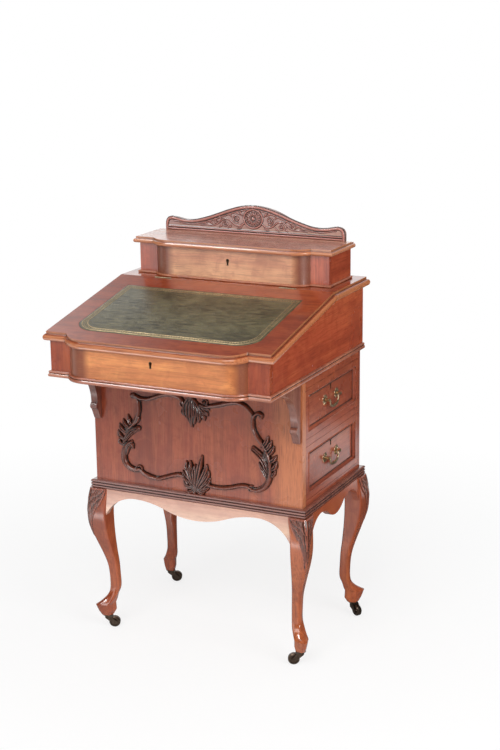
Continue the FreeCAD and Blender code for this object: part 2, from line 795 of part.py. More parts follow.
def handles():
    """Bail handles: posts on each front, and a loop that swings in them."""
    posts = {"left": []}
    for side in ("right", "left"):
        for level in ("upper", "lower"):
            x = "case_half - field_recess" if side == "right" else "-case_half + field_recess"
            z = f"({level}_low + {level}_high) / 2 + handle_rise"
            turn = Rotation() if side == "right" else TURNED
            pair = []
            for end in ("-", ""):
                post = formed(f"{side}_{level}_post{len(pair)}", post_shape())
                pair.append(place(post, x, f"case_middle + ({end}post_spacing / 2)", z, turn))
            bail = formed(f"{side}_{level}_loop", bail_shape())
            place(bail, x, "case_middle", z, turn)
            if side == "right":
                node(f"{level}_handle_posts", group(f"{level}_posts", *pair))
                node(f"{level}_handle_bail", bail)
            else:
                posts["left"] += pair
                node(f"{level}_sham_bail", bail)
    node("sham_handle_posts", group("sham_posts", *posts["left"]))


def post_shape():
    """A rosette with a turned post standing out along +X, bored across for the bail."""
    rosette, thick = value("rosette_radius"), value("rosette_height")
    post, length, tip = value("post_radius"), value("post_length"), value("post_tip")
    profile = [Vector(0, 0, 0), Vector(0, rosette, 0), Vector(value("rosette_rim"), rosette, 0),
               Vector(thick, value("rosette_dome"), 0), Vector(thick, value("post_neck"), 0),
               Vector(value("pivot_stand") - post, post, 0), Vector(length - tip, post, 0),
               Vector(length, tip, 0), Vector(length, 0, 0)]
    turned_post = Part.Face(polygon(profile)).revolve(Vector(), Vector(1, 0, 0), 360)
    span = 4 * post
    hole = Part.makeCylinder(value("bail_radius + shaft_gap"), span,
                             Vector(value("pivot_stand"), -span / 2, 0), Vector(0, 1, 0))
    return turned_post.cut(hole)


def bail_shape():
    """A loop of round bar hanging from its two pivots."""
    half, bend = value("bail_half"), value("bail_bend")
    corner, drop = value("bail_corner"), value("bail_drop")
    tip = value("post_spacing / 2 + post_radius / 2")
    stand = value("pivot_stand")
    slant = math.sqrt(0.5)

    def spot(y, z):
        return Vector(stand, y, z)

    def half_path(sign):
        return [Part.makeLine(spot(sign * tip, 0), spot(sign * (half + bend), 0)),
                Part.Arc(spot(sign * (half + bend), 0),
                         spot(sign * (half + bend * (1 - slant)), -bend * (1 - slant)),
                         spot(sign * half, -bend)).toShape(),
                Part.makeLine(spot(sign * half, -bend), spot(sign * half, corner - drop)),
                Part.Arc(spot(sign * half, corner - drop),
                         spot(sign * (half - corner * (1 - slant)), corner * (1 - slant) - drop),
                         spot(sign * (half - corner), -drop)).toShape()]

    edges = half_path(1) + [Part.makeLine(spot(half - corner, -drop), spot(corner - half, -drop))]
    edges += list(reversed(half_path(-1)))
    path = Part.Wire(Part.__sortEdges__(edges))
    ring = Part.Wire(Part.makeCircle(value("bail_radius"), spot(tip, 0), Vector(0, 1, 0)))
    return path.makePipeShell([ring], True, True, 2)


def brackets():
    """Two carved brackets under the overhang of the writing box."""
    throat = "bracket_reach - cove_radius"
    sink = "-bracket_lip - cove_radius"
    curl = f"{sink} - scroll_height"
    shape = Outline("0", "0").line("0", f"{curl} - bracket_tail")
    shape.line("-tail_thickness", f"{curl} - bracket_tail").line(f"-({throat})", curl)
    shape.arc(f"-({throat})", sink, "scroll_radius", -1)
    shape.arc("-bracket_reach", "-bracket_lip", "cove_radius", 1)
    shape.line("-bracket_reach", "0").close()
    pair = []
    for side, x in (("left", "-case_half + bracket_inset"),
                    ("right", "case_half - bracket_inset - bracket_width")):
        bracket = padded(f"{side}_bracket", shape, "bracket_width")
        pair.append(place(bracket, x, "case_front", "case_top", SIDE_VIEW))
    node("brackets", group("bracket_pair", *pair))


# The cartouche as drawn for a case of this half width and height: points on the middle line
# of each scroll, foot, back and tip of each leaf, and middle, width and height of each shell,
# in millimetres from the middle of the desk and above the case's floor.
DRAWN_HALF, DRAWN_HEIGHT = 265, 290
SCROLLS = {
    "top_left": [(-29, 208), (-38, 222), (-54, 227), (-90, 219), (-120, 210), (-140, 210), (-152, 217)],
    "top_right": [(33, 211), (55, 216), (80, 225), (105, 228), (130, 222), (142, 213), (148, 203)],
    "left_upper": [(-164, 217), (-149, 206), (-146, 182), (-152, 160), (-167, 139)],
    "left_lower": [(-178, 118), (-190, 92), (-188, 62), (-174, 42), (-150, 40)],
    "right_upper": [(168, 198), (158, 208), (149, 200), (152, 165), (162, 142)],
    "right_lower": [(170, 128), (186, 95), (186, 62), (170, 36), (146, 28)],
    "bottom_left": [(-140, 36), (-118, 24), (-95, 23), (-70, 32), (-49, 36), (-36, 31), (-28, 22)],
    "bottom_right": [(35, 26), (60, 23), (86, 29), (108, 35), (130, 37), (140, 31), (143, 24)],
}
LEAVES = {
    "left": ((-178, 120), (-200, 128), (-172, 168)),
    "left_curl": ((-178, 116), (-158, 118), (-144, 138)),
    "right": ((192, 82), (204, 112), (170, 162)),
    "right_curl": ((178, 92), (166, 122), (139, 124)),
}
LEAF_HOLLOW = 0.75
# Each shell opens downwards for a negative height.
SHELLS = {"top": (3, 222, 64, -62), "bottom": (3, 32, 66, 56), "foot": (3, 32, 66, -29)}
LOBE_COUNTS = {"top": 7, "bottom": 7, "foot": 5}
RIM_START, RIM_SWEEP = 0.06, 0.88
LOBE_ROOT, LOBE_CREST = 0.94, 1.04


def on_panel(x, z):
    """A point of the drawing on the front panel."""
    return Vector(x * value("case_half") / DRAWN_HALF, value("case_front"),
                  value("case_floor") + z * value("case_height") / DRAWN_HEIGHT)


def raised(edges, depth):
    """A closed outline on the front panel, standing out from it."""
    return Part.Face(Part.Wire(edges)).extrude(Vector(0, -value(depth), 0))


def scroll_shape(spots):
    """A flat carved scroll along a run of arcs, rounded at its ends."""
    points = [on_panel(x, z) for x, z in spots]
    arcs = [Part.Arc(*points[index:index + 3]).toShape() for index in range(0, len(points) - 2, 2)]
    outline = Part.Wire(arcs).makeOffset2D(value("scroll_width") / 2, 0, False, False)
    return raised(outline.Edges, "carving_depth")


def leaf_shape(spots):
    """A curved leaf between a full back and a hollow front."""
    foot, back, tip = [on_panel(x, z) for x, z in spots]
    hollow = back + ((foot + tip) / 2 - back) * LEAF_HOLLOW
    return raised([Part.Arc(foot, back, tip).toShape(), Part.Arc(tip, hollow, foot).toShape()],
                  "carving_depth")


def shell_shape(x, level, width, height, lobes):
    """A fan of lobes round a point."""
    def rim(share, reach):
        angle = math.pi * (RIM_START + RIM_SWEEP * share)
        return on_panel(x + reach * width / 2 * math.cos(angle), level + reach * height * math.sin(angle))

    edges = []
    for index in range(lobes):
        start, end = rim(index / lobes, LOBE_ROOT), rim((index + 1) / lobes, LOBE_ROOT)
        edges.append(Part.Arc(start, rim((index + 0.5) / lobes, LOBE_CREST), end).toShape())
    edges.append(Part.makeLine(rim(1, LOBE_ROOT), rim(0, LOBE_ROOT)))
    return raised(edges, "shell_depth")


def cartouche():
    """The carved frame applied to the front panel: scrolls, leaves and shells."""
    shapes = [scroll_shape(spots) for spots in SCROLLS.values()]
    shapes += [leaf_shape(spots) for spots in LEAVES.values()]
    shapes += [shell_shape(*shell, LOBE_COUNTS[name]) for name, shell in SHELLS.items()]
    carving = shapes[0].multiFuse(shapes[1:]).removeSplitter()
    node("carved_cartouche", formed("cartouche", carving))


def box_plan(grow, level, back, front="box_front"):
    """The writing box's breakfront plan, grown by a margin."""
    return breakfront(value("box_half"), value(front), back, value("bow_flat"),
                      value("bow_projection"), value("bow_corner"), grow, level)


def writing_box():
    """The writing box: base board, sides, back, pilasters and bow front under the lid's slope."""
    overhang, floor = value("base_board_overhang"), value("case_top")
    steps = reeds((value("base_roll_height"), value("base_roll_depth")),
                  (value("base_reed_height"), value("base_reed_depth")))
    plans = [box_plan(overhang + offset, floor + level, value("box_back")) for offset, level in steps]
    node("box_base_board", formed("base_board", Part.makeLoft(plans, True, True)))
    sink = "(lid_thickness * slope_length / slope_run + running_gap)"
    slope = "slope_drop / slope_run"
    sides = []
    for side, x in (("left", "-box_half"), ("right", "box_inner_half")):
        shape = Outline("box_inner_front", "box_floor").line("box_back", "box_floor")
        shape.line("box_back", "flat_under")
        shape.line(f"hinge_line + ({sink} - lid_thickness) / ({slope})", "flat_under")
        shape.line("box_inner_front",
                   f"flat_level - {sink} + (box_inner_front - hinge_line) * {slope}")
        board_side = padded(f"{side}_side", shape.close(), "box_wall")
        sides.append(place(board_side, x, "0", "0", SIDE_VIEW))
    node("box_sides", group("side_pair", *sides))
    node("box_back", board("box_back_board", ("-box_inner_half", "box_inner_half"),
                           ("box_back - back_thickness", "box_back"), ("box_floor", "flat_under")))
    pilaster_list = []
    for side, x in (("left", ("-box_half", "-box_half + pilaster_width")),
                    ("right", ("box_half - pilaster_width", "box_half"))):
        blank = board(f"{side}_pilaster", x, ("box_front", "box_inner_front"),
                      ("box_floor", "flat_level"))
        pilaster_list.append(cut(f"{side}_pilaster", blank, slope_tool(f"{side}_pilaster_room")))
    node("box_pilasters", group("pilasters", *pilaster_list))
    plan = bow_outline("box_half - pilaster_width", "bow_flat", "bow_projection",
                       "bow_corner", "box_wall", "box_front_wall")
    front = padded("bow_front", plan, "box_height")
    place(front, "0", "box_front", "box_floor")
    tools = keyhole("bow_front", "0", "lid_lock_wall", "lid_eye", FRONT_VIEW)
    node("box_front", cut("bow_front", front, slope_tool("bow_front_room"), *tools))
    flat_top()


def slope_tool(name):
    """The space above the lid's underside, as a block tilted with the slope."""
    block = doc.addObject("Part::Box", name)
    block.setExpression("Length", formula("2 * desk_width"))
    block.setExpression("Width", formula("desk_depth"))
    block.setExpression("Height", formula("desk_depth"))
    block.Placement = Placement(Vector(), Rotation(Vector(1, 0, 0), value("slope_angle")))
    tilt = "slope_drop / slope_length"
    level = "slope_run / slope_length"
    sink = "lid_thickness + running_gap"
    place(block, "-desk_width", f"hinge_line - desk_depth * {level} + ({sink}) * {tilt}",
          f"flat_level - desk_depth * {tilt} - ({sink}) * {level}")
    return block


def bow_outline(half, flat, projection, corner, wall, thickness):
    """The plan of a bowed front between two pilasters, hollowed behind."""
    radius = f"(({corner}) ^ 2 + ({projection}) ^ 2) / (2 * {projection})"
    inner = f"-({projection}) + {thickness}"
    shape = Outline(f"-({half})", "0").arc(f"-({flat})", f"-({projection})", radius, 1)
    shape.line(flat, f"-({projection})").arc(half, "0", radius, 1)
    shape.line(half, wall).line(flat, wall).line(flat, inner)
    return shape.line(f"-({flat})", inner).line(f"-({flat})", wall).line(f"-({half})", wall).close()


def flat_top():
    """The fixed board behind the lid, moulded on three sides and mitred to the lid."""
    half, back, under = value("desk_width") / 2, value("desk_back"), value("flat_under")
    thick, gap = value("lid_thickness"), value("running_gap")
    lean = math.tan(math.radians(value("slope_angle")) / 2)
    plans = []
    for offset, level in lid_edge():
        front = value("hinge_line") + gap + (thick - level) * lean
        plans.append(polygon([Vector(-half - offset, front, under + level),
                              Vector(half + offset, front, under + level),
                              Vector(half + offset, back + offset, under + level),
                              Vector(-half - offset, back + offset, under + level)]))
    blank = formed("flat_board", Part.makeLoft(plans, True, True))
    node("flat_top", cut("flat_board", blank, *hinge_recesses("flat_top", "fixed", LID_HINGE)))


def lid_edge():
    """The moulded edge that the lid and the flat top share."""
    return thumb_edge(value("lid_thickness"), value("thumb_height"), value("thumb_depth"),
                      value("fillet_inset"))


def writing_lid():
    """The sloping lid with its leather, made flat with its hinge on the X axis, then tilted."""
    thick, gap = value("lid_thickness"), value("running_gap")
    lean = math.tan(math.radians(value("slope_angle")) / 2)
    overhang, front = value("desk_overhang"), value("desk_overhang - slope_length")
    tilt = Placement(Vector(0, value("hinge_line"), value("flat_level")),
                     Rotation(Vector(1, 0, 0), value("slope_angle")))
    plans = []
    for offset, level in lid_edge():
        back = (level - thick) * lean - gap
        plans.append(breakfront(value("box_half"), front, back, value("bow_flat"),
                                value("bow_projection"), value("bow_corner"),
                                overhang + offset, level - thick))
    blank = formed("lid_blank", Part.makeLoft(plans, True, True), tilt)
    margin = value("leather_margin")
    half = value("desk_width") / 2 - margin
    rear = -margin
    fore = front - overhang - value("bow_projection") + margin
    corner, flat = value("leather_corner"), value("bow_flat")
    radius = ((half - flat) ** 2 + corner ** 2) / (2 * corner)
    slant = math.asin((half - flat) / radius) / 2
    bulge = Vector(flat + radius * math.sin(slant), fore + radius * (1 - math.cos(slant)), 0)
    edges = [Part.makeLine(Vector(half, rear, 0), Vector(-half, rear, 0)),
             Part.makeLine(Vector(-half, rear, 0), Vector(-half, fore + corner, 0)),
             Part.Arc(Vector(-half, fore + corner, 0), Vector(-bulge.x, bulge.y, 0),
                      Vector(-flat, fore, 0)).toShape(),
             Part.makeLine(Vector(-flat, fore, 0), Vector(flat, fore, 0)),
             Part.Arc(Vector(flat, fore, 0), bulge, Vector(half, fore + corner, 0)).toShape(),
             Part.makeLine(Vector(half, fore + corner, 0), Vector(half, rear, 0))]
    panel = Part.Face(Part.Wire(edges)).extrude(Vector(0, 0, -value("leather_thickness")))
    leather = node("leather_panel", formed("leather", panel, tilt))
    node("writing_lid", cut("lid", blank, leather, *hinge_recesses("lid", "moving", LID_HINGE)))


def upper_plan(grow, level, back):
    """The stationery box's breakfront plan, grown by a margin."""
    return breakfront(value("upper_half"), value("upper_front"), back, value("upper_bow_flat"),
                      value("upper_bow"), value("upper_corner"), grow, level)


def stationery_box():
    """The box behind the slope: beaded base, bow front, pilasters, sides, back and dividers."""
    overhang = value("bead_overhang")
    steps = round_edge(value("bead_height"), value("bead_depth"))
    plans = [upper_plan(overhang + offset, value("flat_level") + level, value("upper_back"))
             for offset, level in steps]
    node("upper_base_board", formed("bead_board", Part.makeLoft(plans, True, True)))
    tall = ("upper_floor", "upper_top")
    plan = bow_outline("upper_half - upper_pilaster", "upper_bow_flat", "upper_bow",
                       "upper_corner", "upper_wall", "upper_front_wall")
    front = padded("upper_bow_front", plan, "upper_height")
    place(front, "0", "upper_front", "upper_floor")
    tools = keyhole("upper_bow_front", "0", "upper_lock_wall", "upper_eye", FRONT_VIEW)
    node("upper_front", cut("upper_bow_front", front, *tools))
    ends = {"left": (("-upper_half", "-upper_half + upper_pilaster"),
                     ("-upper_half", "-upper_half + upper_wall")),
            "right": (("upper_half - upper_pilaster", "upper_half"),
                      ("upper_half - upper_wall", "upper_half"))}
    pilasters, sides = [], []
    for side, (pilaster, wall) in ends.items():
        pilasters.append(board(f"{side}_upper_pilaster", pilaster,
                               ("upper_front", "upper_inner_front"), tall))
        sides.append(board(f"{side}_upper_side", wall, ("upper_inner_front", "upper_back"), tall))
    node("upper_pilasters", group("upper_pilaster_pair", *pilasters))
    node("upper_sides", group("upper_side_pair", *sides))
    back = board("upper_back_blank", ("-upper_half + upper_wall", "upper_half - upper_wall"),
                 ("upper_back - upper_wall", "upper_back"), tall)
    node("upper_back", cut("upper_back_board", back, *hinge_recesses("upper_back", "fixed", UPPER_HINGE)))
    inner = ("upper_inner_front", "upper_back - upper_wall")
    dividers = [board(f"{side}_divider", (f"{sign}divider_place - divider_thickness / 2",
                                          f"{sign}divider_place + divider_thickness / 2"), inner,
                      ("upper_floor", "upper_top - divider_lower"))
                for side, sign in (("left", "-"), ("right", ""))]
    node("stationery_dividers", group("dividers", *dividers))


def upper_lid():
    """The stationery box's lid with its moulded edge, and the shaped gallery along its back."""
    overhang, under = value("upper_lid_overhang"), value("upper_lid_under")
    steps = thumb_edge(value("upper_lid_thickness"), value("upper_thumb_height"),
                       value("upper_thumb_depth"), value("upper_fillet_inset"))
    plans = [upper_plan(overhang + offset, under + level, value("upper_back")) for offset, level in steps]
    blank = formed("upper_lid_blank", Part.makeLoft(plans, True, True))
    seat = board("gallery_seat", ("-upper_half - upper_lid_overhang", "upper_half + upper_lid_overhang"),
                 ("upper_back - gallery_inset - gallery_thickness", "upper_back"),
                 ("upper_lid_top - gallery_housing", "upper_lid_top + gallery_housing"))
    recesses = hinge_recesses("upper_lid", "moving", UPPER_HINGE)
    node("upper_lid", cut("upper_lid_board", blank, seat, *recesses))
    half, end = "gallery_half", "gallery_end - gallery_end_radius"
    crest = "gallery_half - gallery_end_radius"
    slack = f"(({crest} - gallery_dip_place) / 2)"
    small = f"({slack} ^ 2 + ((gallery_end - gallery_dip) / 2) ^ 2) / (gallery_end - gallery_dip)"
    rise = "(gallery_height - gallery_dip)"
    large = f"((gallery_dip_place / 2) ^ 2 + ({rise} / 2) ^ 2) / {rise}"
    lip, shoulder = "(gallery_end + gallery_dip) / 2", "(gallery_height + gallery_dip) / 2"
    foot = "-gallery_housing"
    shape = Outline(f"-{half}", foot).line(half, foot).line(half, end)
    shape.arc(crest, "gallery_end", "gallery_end_radius", 1)
    shape.arc(f"gallery_dip_place + {slack}", lip, small, 1)
    shape.arc("gallery_dip_place", "gallery_dip", small, -1)
    shape.arc("gallery_dip_place / 2", shoulder, large, -1)
    shape.arc("-gallery_dip_place / 2", shoulder, large, 1)
    shape.arc("-gallery_dip_place", "gallery_dip", large, -1)
    shape.arc(f"-gallery_dip_place - {slack}", lip, small, -1)
    shape.arc(f"-({crest})", "gallery_end", small, 1)
    shape.arc(f"-{half}", end, "gallery_end_radius", 1).close()
    gallery = padded("gallery_board", shape, "gallery_thickness")
    node("gallery", place(gallery, "0", "upper_back - gallery_inset", "upper_lid_top", FRONT_VIEW))


# Where each pair of hinges has its axis, and how it is turned about it.
LID_HINGE = ("hinge_line", "flat_level", "slope_angle / 2")
UPPER_HINGE = ("upper_back", "upper_top + running_gap", "-90")


def hinge_spots(line):
    """The two places of a pair of hinges."""
    y, z, angle = line
    turn = Rotation(Vector(1, 0, 0), value(angle))
    return [Placement(Vector(sign * value("hinge_place"), value(y), value(z)), turn) for sign in (-1, 1)]


def knuckles(which):
    """Low and high ends of a leaf's knuckles along the pin, and of the room for the other's."""
    length, gap = value("hinge_length"), value("running_gap")
    third = length / 3
    outer = [(-length / 2, -third / 2 - gap), (third / 2 + gap, length / 2)]
    inner = [(-third / 2, third / 2)]
    return outer if which == "fixed" else inner


def bar(radius, low, high):
    """A round bar along the X axis."""
    return Part.makeCylinder(radius, high - low, Vector(low, 0, 0), Vector(1, 0, 0))


def hinge_leaf(which):
    """One leaf with its knuckles, hanging from the X axis on its own side of it."""
    length, depth, leaf = value("hinge_length"), value("hinge_leaf_depth"), value("hinge_leaf")
    gap, knuckle = value("running_gap"), value("knuckle_radius")
    side = gap if which == "fixed" else -gap - leaf
    plate = Part.makeBox(length, leaf, depth, Vector(-length / 2, side, -depth))
    barrel = bar(knuckle + gap, -length, length)
    rolls = [bar(knuckle, low, high) for low, high in knuckles(which)]
    webs = [Part.makeBox(high - low, leaf, knuckle + 2 * gap, Vector(low, side, -knuckle - 2 * gap))
            for low, high in knuckles(which)]
    solid = plate.cut(barrel).multiFuse(rolls + webs)
    return solid.cut(bar(value("pin_radius + shaft_gap"), -length, length)).removeSplitter()


def hinge_recesses(name, which, line):
    """The spaces that a pair of hinges takes from the board that carries one leaf."""
    length, depth, leaf = value("hinge_length"), value("hinge_leaf_depth"), value("hinge_leaf")
    gap, knuckle = value("running_gap"), value("knuckle_radius")
    low = -gap if which == "fixed" else -gap - leaf
    bed = Part.makeBox(length, leaf + 2 * gap, depth + gap, Vector(-length / 2, low, -depth))
    groove = bar(knuckle + gap, -length / 2 - gap, length / 2 + gap)
    space = bed.fuse(groove)
    return [formed(f"{name}_recess{number}", space.copy(), spot)
            for number, spot in enumerate(hinge_spots(line))]


def hinges():
    """Leaves and pins of both lids' hinges."""
    fixed, pins = [], []
    for name, line in (("writing", LID_HINGE), ("upper", UPPER_HINGE)):
        moving = []
        for number, spot in enumerate(hinge_spots(line)):
            fixed.append(formed(f"{name}_fixed_leaf{number}", hinge_leaf("fixed"), spot))
            moving.append(formed(f"{name}_moving_leaf{number}", hinge_leaf("moving"), spot))
            half = value("hinge_length") / 2
            pins.append(formed(f"{name}_pin{number}", bar(value("pin_radius"), -half, half), spot))
        node(f"{name}_lid_leaves", group(f"{name}_moving_leaves", *moving))
    node("hinge_fixed_leaves", group("fixed_leaves", *fixed))
    node("hinge_pins", group("pins", *pins))


def lid_locks():
    """The locks of the two lids, behind their keyholes."""
    across = ("-lid_lock_width / 2", "lid_lock_width / 2")
    locks = []
    for name, eye, wall, rise in (("writing", "lid_eye", "lid_lock_wall", "lid_lock_rise"),
                                  ("upper", "upper_eye", "upper_lock_wall", "upper_lock_rise")):
        locks.append(board(f"{name}_lock", across, (wall, f"{wall} + lock_thickness"),
                           (f"{eye} + {rise} - lid_lock_height", f"{eye} + {rise}")))
    node("lid_locks", group("locks", *locks))


def check_and_export():
    """Stop on any failed object or bad solid, then write each piece to its own file."""
    doc.recompute()
    failed = [item.Label for item in doc.Objects if "Invalid" in item.State or "Error" in item.State]
    bad = [item.Label for item in nodes if item.Shape.isNull() or not item.Shape.isValid()]
    if failed or bad:
        raise RuntimeError(f"failed: {failed}, bad solids: {bad}")
    os.makedirs("parts", exist_ok=True)
    for item in nodes:
        item.Shape.exportStep(f"parts/{item.Label}.step")
        print(item.Label, len(item.Shape.Solids), round(item.Shape.Volume))


stand()
casters()
case()
drawers()
handles()
brackets()
cartouche()
writing_box()
writing_lid()
stationery_box()
upper_lid()
hinges()
lid_locks()
check_and_export()
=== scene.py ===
import json
import math

import bmesh
import bpy
import numpy as np
from mathutils import Matrix, Vector


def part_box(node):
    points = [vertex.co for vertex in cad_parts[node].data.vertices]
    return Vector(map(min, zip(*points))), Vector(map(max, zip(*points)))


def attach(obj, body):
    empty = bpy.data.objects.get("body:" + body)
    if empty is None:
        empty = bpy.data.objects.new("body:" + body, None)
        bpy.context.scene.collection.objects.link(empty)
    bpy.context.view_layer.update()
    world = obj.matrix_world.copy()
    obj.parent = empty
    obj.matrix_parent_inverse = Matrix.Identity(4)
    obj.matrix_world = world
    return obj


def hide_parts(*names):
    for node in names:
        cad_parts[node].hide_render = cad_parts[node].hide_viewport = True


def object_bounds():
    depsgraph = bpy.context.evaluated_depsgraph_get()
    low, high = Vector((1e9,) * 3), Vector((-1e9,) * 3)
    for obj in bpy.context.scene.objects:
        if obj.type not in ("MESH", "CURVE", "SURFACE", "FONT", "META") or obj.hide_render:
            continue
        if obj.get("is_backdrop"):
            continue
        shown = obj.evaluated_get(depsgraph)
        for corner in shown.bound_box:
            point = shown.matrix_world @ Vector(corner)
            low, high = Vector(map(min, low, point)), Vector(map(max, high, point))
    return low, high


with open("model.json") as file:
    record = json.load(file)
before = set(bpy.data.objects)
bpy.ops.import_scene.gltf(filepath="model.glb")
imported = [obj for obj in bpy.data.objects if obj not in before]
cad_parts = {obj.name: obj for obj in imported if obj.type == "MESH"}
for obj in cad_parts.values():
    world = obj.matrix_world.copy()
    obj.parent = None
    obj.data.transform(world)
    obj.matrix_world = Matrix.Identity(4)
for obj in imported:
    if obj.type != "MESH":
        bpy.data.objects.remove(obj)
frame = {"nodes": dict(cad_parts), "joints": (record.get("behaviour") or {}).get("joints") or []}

CAD_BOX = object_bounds()
NODES = frame["nodes"]
FRAME = "desk_frame"

bl_info = {
    "name": "Davenport Desk Finish",
    "version": (1, 0, 0),
    "blender": (4, 5, 0),
    "location": "View3D > Sidebar > Desk",
    "description": "Carving, leather, brass and polish for a davenport desk",
    "category": "Object",
}


def colour(name, description, default):
    """A colour that a user may change."""
    return bpy.props.FloatVectorProperty(name=name, description=description, default=default,
                                         size=3, min=0, max=1, subtype="COLOR")


def length(name, description, default):
    """A length in metres that a user may change."""
    return bpy.props.FloatProperty(name=name, description=description, default=default,
                                   min=0, subtype="DISTANCE", unit="LENGTH")


def power(name, description, default):
    """A light's power in watts that a user may change."""
    return bpy.props.FloatProperty(name=name, description=description, default=default, min=0, unit="POWER")


class DeskFinish(bpy.types.PropertyGroup):
    """Colours of the desk's finishes."""
    mahogany: colour("Mahogany", "Polished red mahogany of the boards", (0.36, 0.072, 0.031))
    sides: colour("Side mahogany", "Deep red mahogany of the boxes' sides", (0.46, 0.080, 0.030))
    legs: colour("Leg mahogany", "Lighter mahogany of the legs and small aprons", (0.40, 0.082, 0.026))
    # The front apron's pale tone is a painted sheen on its mahogany.
    aprons: colour("Apron mahogany", "Bleached mahogany of the front apron", (0.62, 0.310, 0.215))
    faded: colour("Faded mahogany", "Golden, faded mahogany of the large bow front", (0.70, 0.245, 0.080))
    slope: colour("Slope mahogany", "Mahogany of the sloping lid and the flat top", (0.34, 0.055, 0.018))
    # The stationery box lid's pale tone is a painted sheen on its mahogany.
    top: colour("Top mahogany", "Bleached mahogany of the stationery box's lid", (0.62, 0.275, 0.200))
    # The upper bow front's pale tone is partly a painted sheen on its mahogany.
    pale: colour("Pale mahogany", "Bleached mahogany of the upper bow front", (0.68, 0.300, 0.165))
    # Golden tone for the lids' steep faces: a painted highlight as well as wear.
    painted_light_and_wear: colour("Worn edge", "Golden, worn edges of the lids", (0.56, 0.195, 0.075))
    lines: colour("Moulding mahogany", "Worn mahogany of the small mouldings", (0.44, 0.135, 0.070))
    base: colour("Base mahogany", "Darker mahogany of the base moulding and brackets", (0.25, 0.078, 0.052))
    gallery: colour("Gallery mahogany", "Greyed mahogany of the gallery", (0.40, 0.185, 0.150))
    carving: colour("Carving", "Dark stained mahogany of the carved work", (0.095, 0.030, 0.018))
    oak: colour("Oak", "Plain oak of the drawer linings", (0.50, 0.225, 0.095))
    stained: colour("Stained oak", "Oak of the box's back, stained to match", (0.24, 0.066, 0.028))
    leather: colour("Leather", "Olive green hide of the writing slope", (0.112, 0.098, 0.050))
    gilding: colour("Gilding", "Worn gold of the tooled lines", (0.85, 0.66, 0.38))
    brass: colour("Brass", "Aged brass of the handles", (0.92, 0.70, 0.44))
    bronze: colour("Bronze", "Dark bronze of the casters", (0.14, 0.10, 0.075))


class DeskCarving(bpy.types.PropertyGroup):
    """Heights and widths of the carved and tooled work."""
    band: length("Band relief", "How far the cartouche's bands stand out", 0.011)
    leaf: length("Leaf relief", "How far the cartouche's leaves and shells stand out", 0.010)
    knee: length("Knee relief", "How far the leaves on the knees stand out", 0.0034)
    gallery: length("Gallery relief", "How far the gallery's foliage stands out", 0.0016)
    line: length("Gold line", "Measure for the widths of the tooled gold lines", 0.0019)


class DeskStage(bpy.types.PropertyGroup):
    """Floor and light."""
    floor: colour("Floor", "Pale floor", (0.93, 0.93, 0.93))
    key: power("Key light", "Power of the large soft light", 95.0)
    fill: power("Fill light", "Power of the soft light on the right", 60.0)
    window: power("Window light", "Power of the small lights that glint in the polish", 45.0)


def finishes():
    return bpy.context.scene.desk_finish


def carving():
    return bpy.context.scene.desk_carving


class Nodes:
    """A node tree, with short ways to add to it."""

    def __init__(self, tree, family="ShaderNode"):
        self.tree, self.family = tree, family

    def add(self, kind, inputs=None, **settings):
        """A node whose inputs are linked from sockets or set to values."""
        node = self.tree.nodes.new(self.family + kind)
        for key, item in settings.items():
            setattr(node, key, item)
        for key, item in (inputs or {}).items():
            self.feed(node.inputs[key], item)
        return node

    def feed(self, socket, item):
        if isinstance(item, bpy.types.NodeSocket):
            self.tree.links.new(item, socket)
        else:
            socket.default_value = item

    def split(self, vector):
        return self.add("SeparateXYZ", {"Vector": vector}).outputs

    def math(self, operation, *values):
        return self.add("Math", dict(enumerate(values)), operation=operation).outputs["Value"]

    def range(self, factor, low, high, start=0.0, end=1.0, steps="LINEAR"):
        inputs = {"Value": factor, "From Min": start, "From Max": end, "To Min": low, "To Max": high}
        return self.add("MapRange", inputs, interpolation_type=steps).outputs["Result"]


class Shading(Nodes):
    """One material with its nodes."""

    def __init__(self, name):
        self.material = bpy.data.materials.new(name)
        self.material.use_nodes = True
        super().__init__(self.material.node_tree)
        self.surface = self.tree.nodes["Principled BSDF"]

    def set(self, **inputs):
        for key, item in inputs.items():
            self.feed(self.surface.inputs[key.replace("_", " ")], item)

    def noise(self, vector, scale, detail=4.0, rough=0.55, twist=0.0):
        return self.add("TexNoise", {"Vector": vector, "Scale": scale, "Detail": detail,
                                     "Roughness": rough, "Distortion": twist}).outputs["Fac"]

    def ramp(self, factor, *stops):
        node = self.add("ValToRGB", {"Fac": factor})
        marks = node.color_ramp.elements
        while len(marks) < len(stops):
            marks.new(0.5)
        for mark, (place, tone) in zip(marks, stops):
            mark.position = place
            mark.color = (*tone, 1.0)
        return node.outputs["Color"]

    def mix(self, factor, first, second):
        node = self.add("Mix", data_type="RGBA")
        for socket, item in zip((node.inputs[0], node.inputs[6], node.inputs[7]), (factor, first, second)):
            self.feed(socket, item if not isinstance(item, tuple) else (*item, 1.0))
        return node.outputs[2]

    def nook(self, distance):
        """How open the surface is, low in creases."""
        node = self.add("AmbientOcclusion", {"Distance": distance}, samples=8, only_local=True)
        return node.outputs["AO"]

    def bump(self, height, distance, strength=1.0):
        node = self.add("Bump", {"Height": height, "Distance": distance, "Strength": strength})
        self.feed(self.surface.inputs["Normal"], node.outputs["Normal"])


def shade(tone, factor, warm=1.0):
    """A colour made lighter or darker, with its red kept warm."""
    return tuple(min(1.0, part * factor * (warm if index == 0 else 1.0)) for index, part in enumerate(tone))


# Scales that draw a pattern out along each way of the grain.
ALONG = {"X": (0.05, 1.0, 1.0), "Y": (1.0, 0.05, 1.0), "Z": (1.0, 1.0, 0.05)}


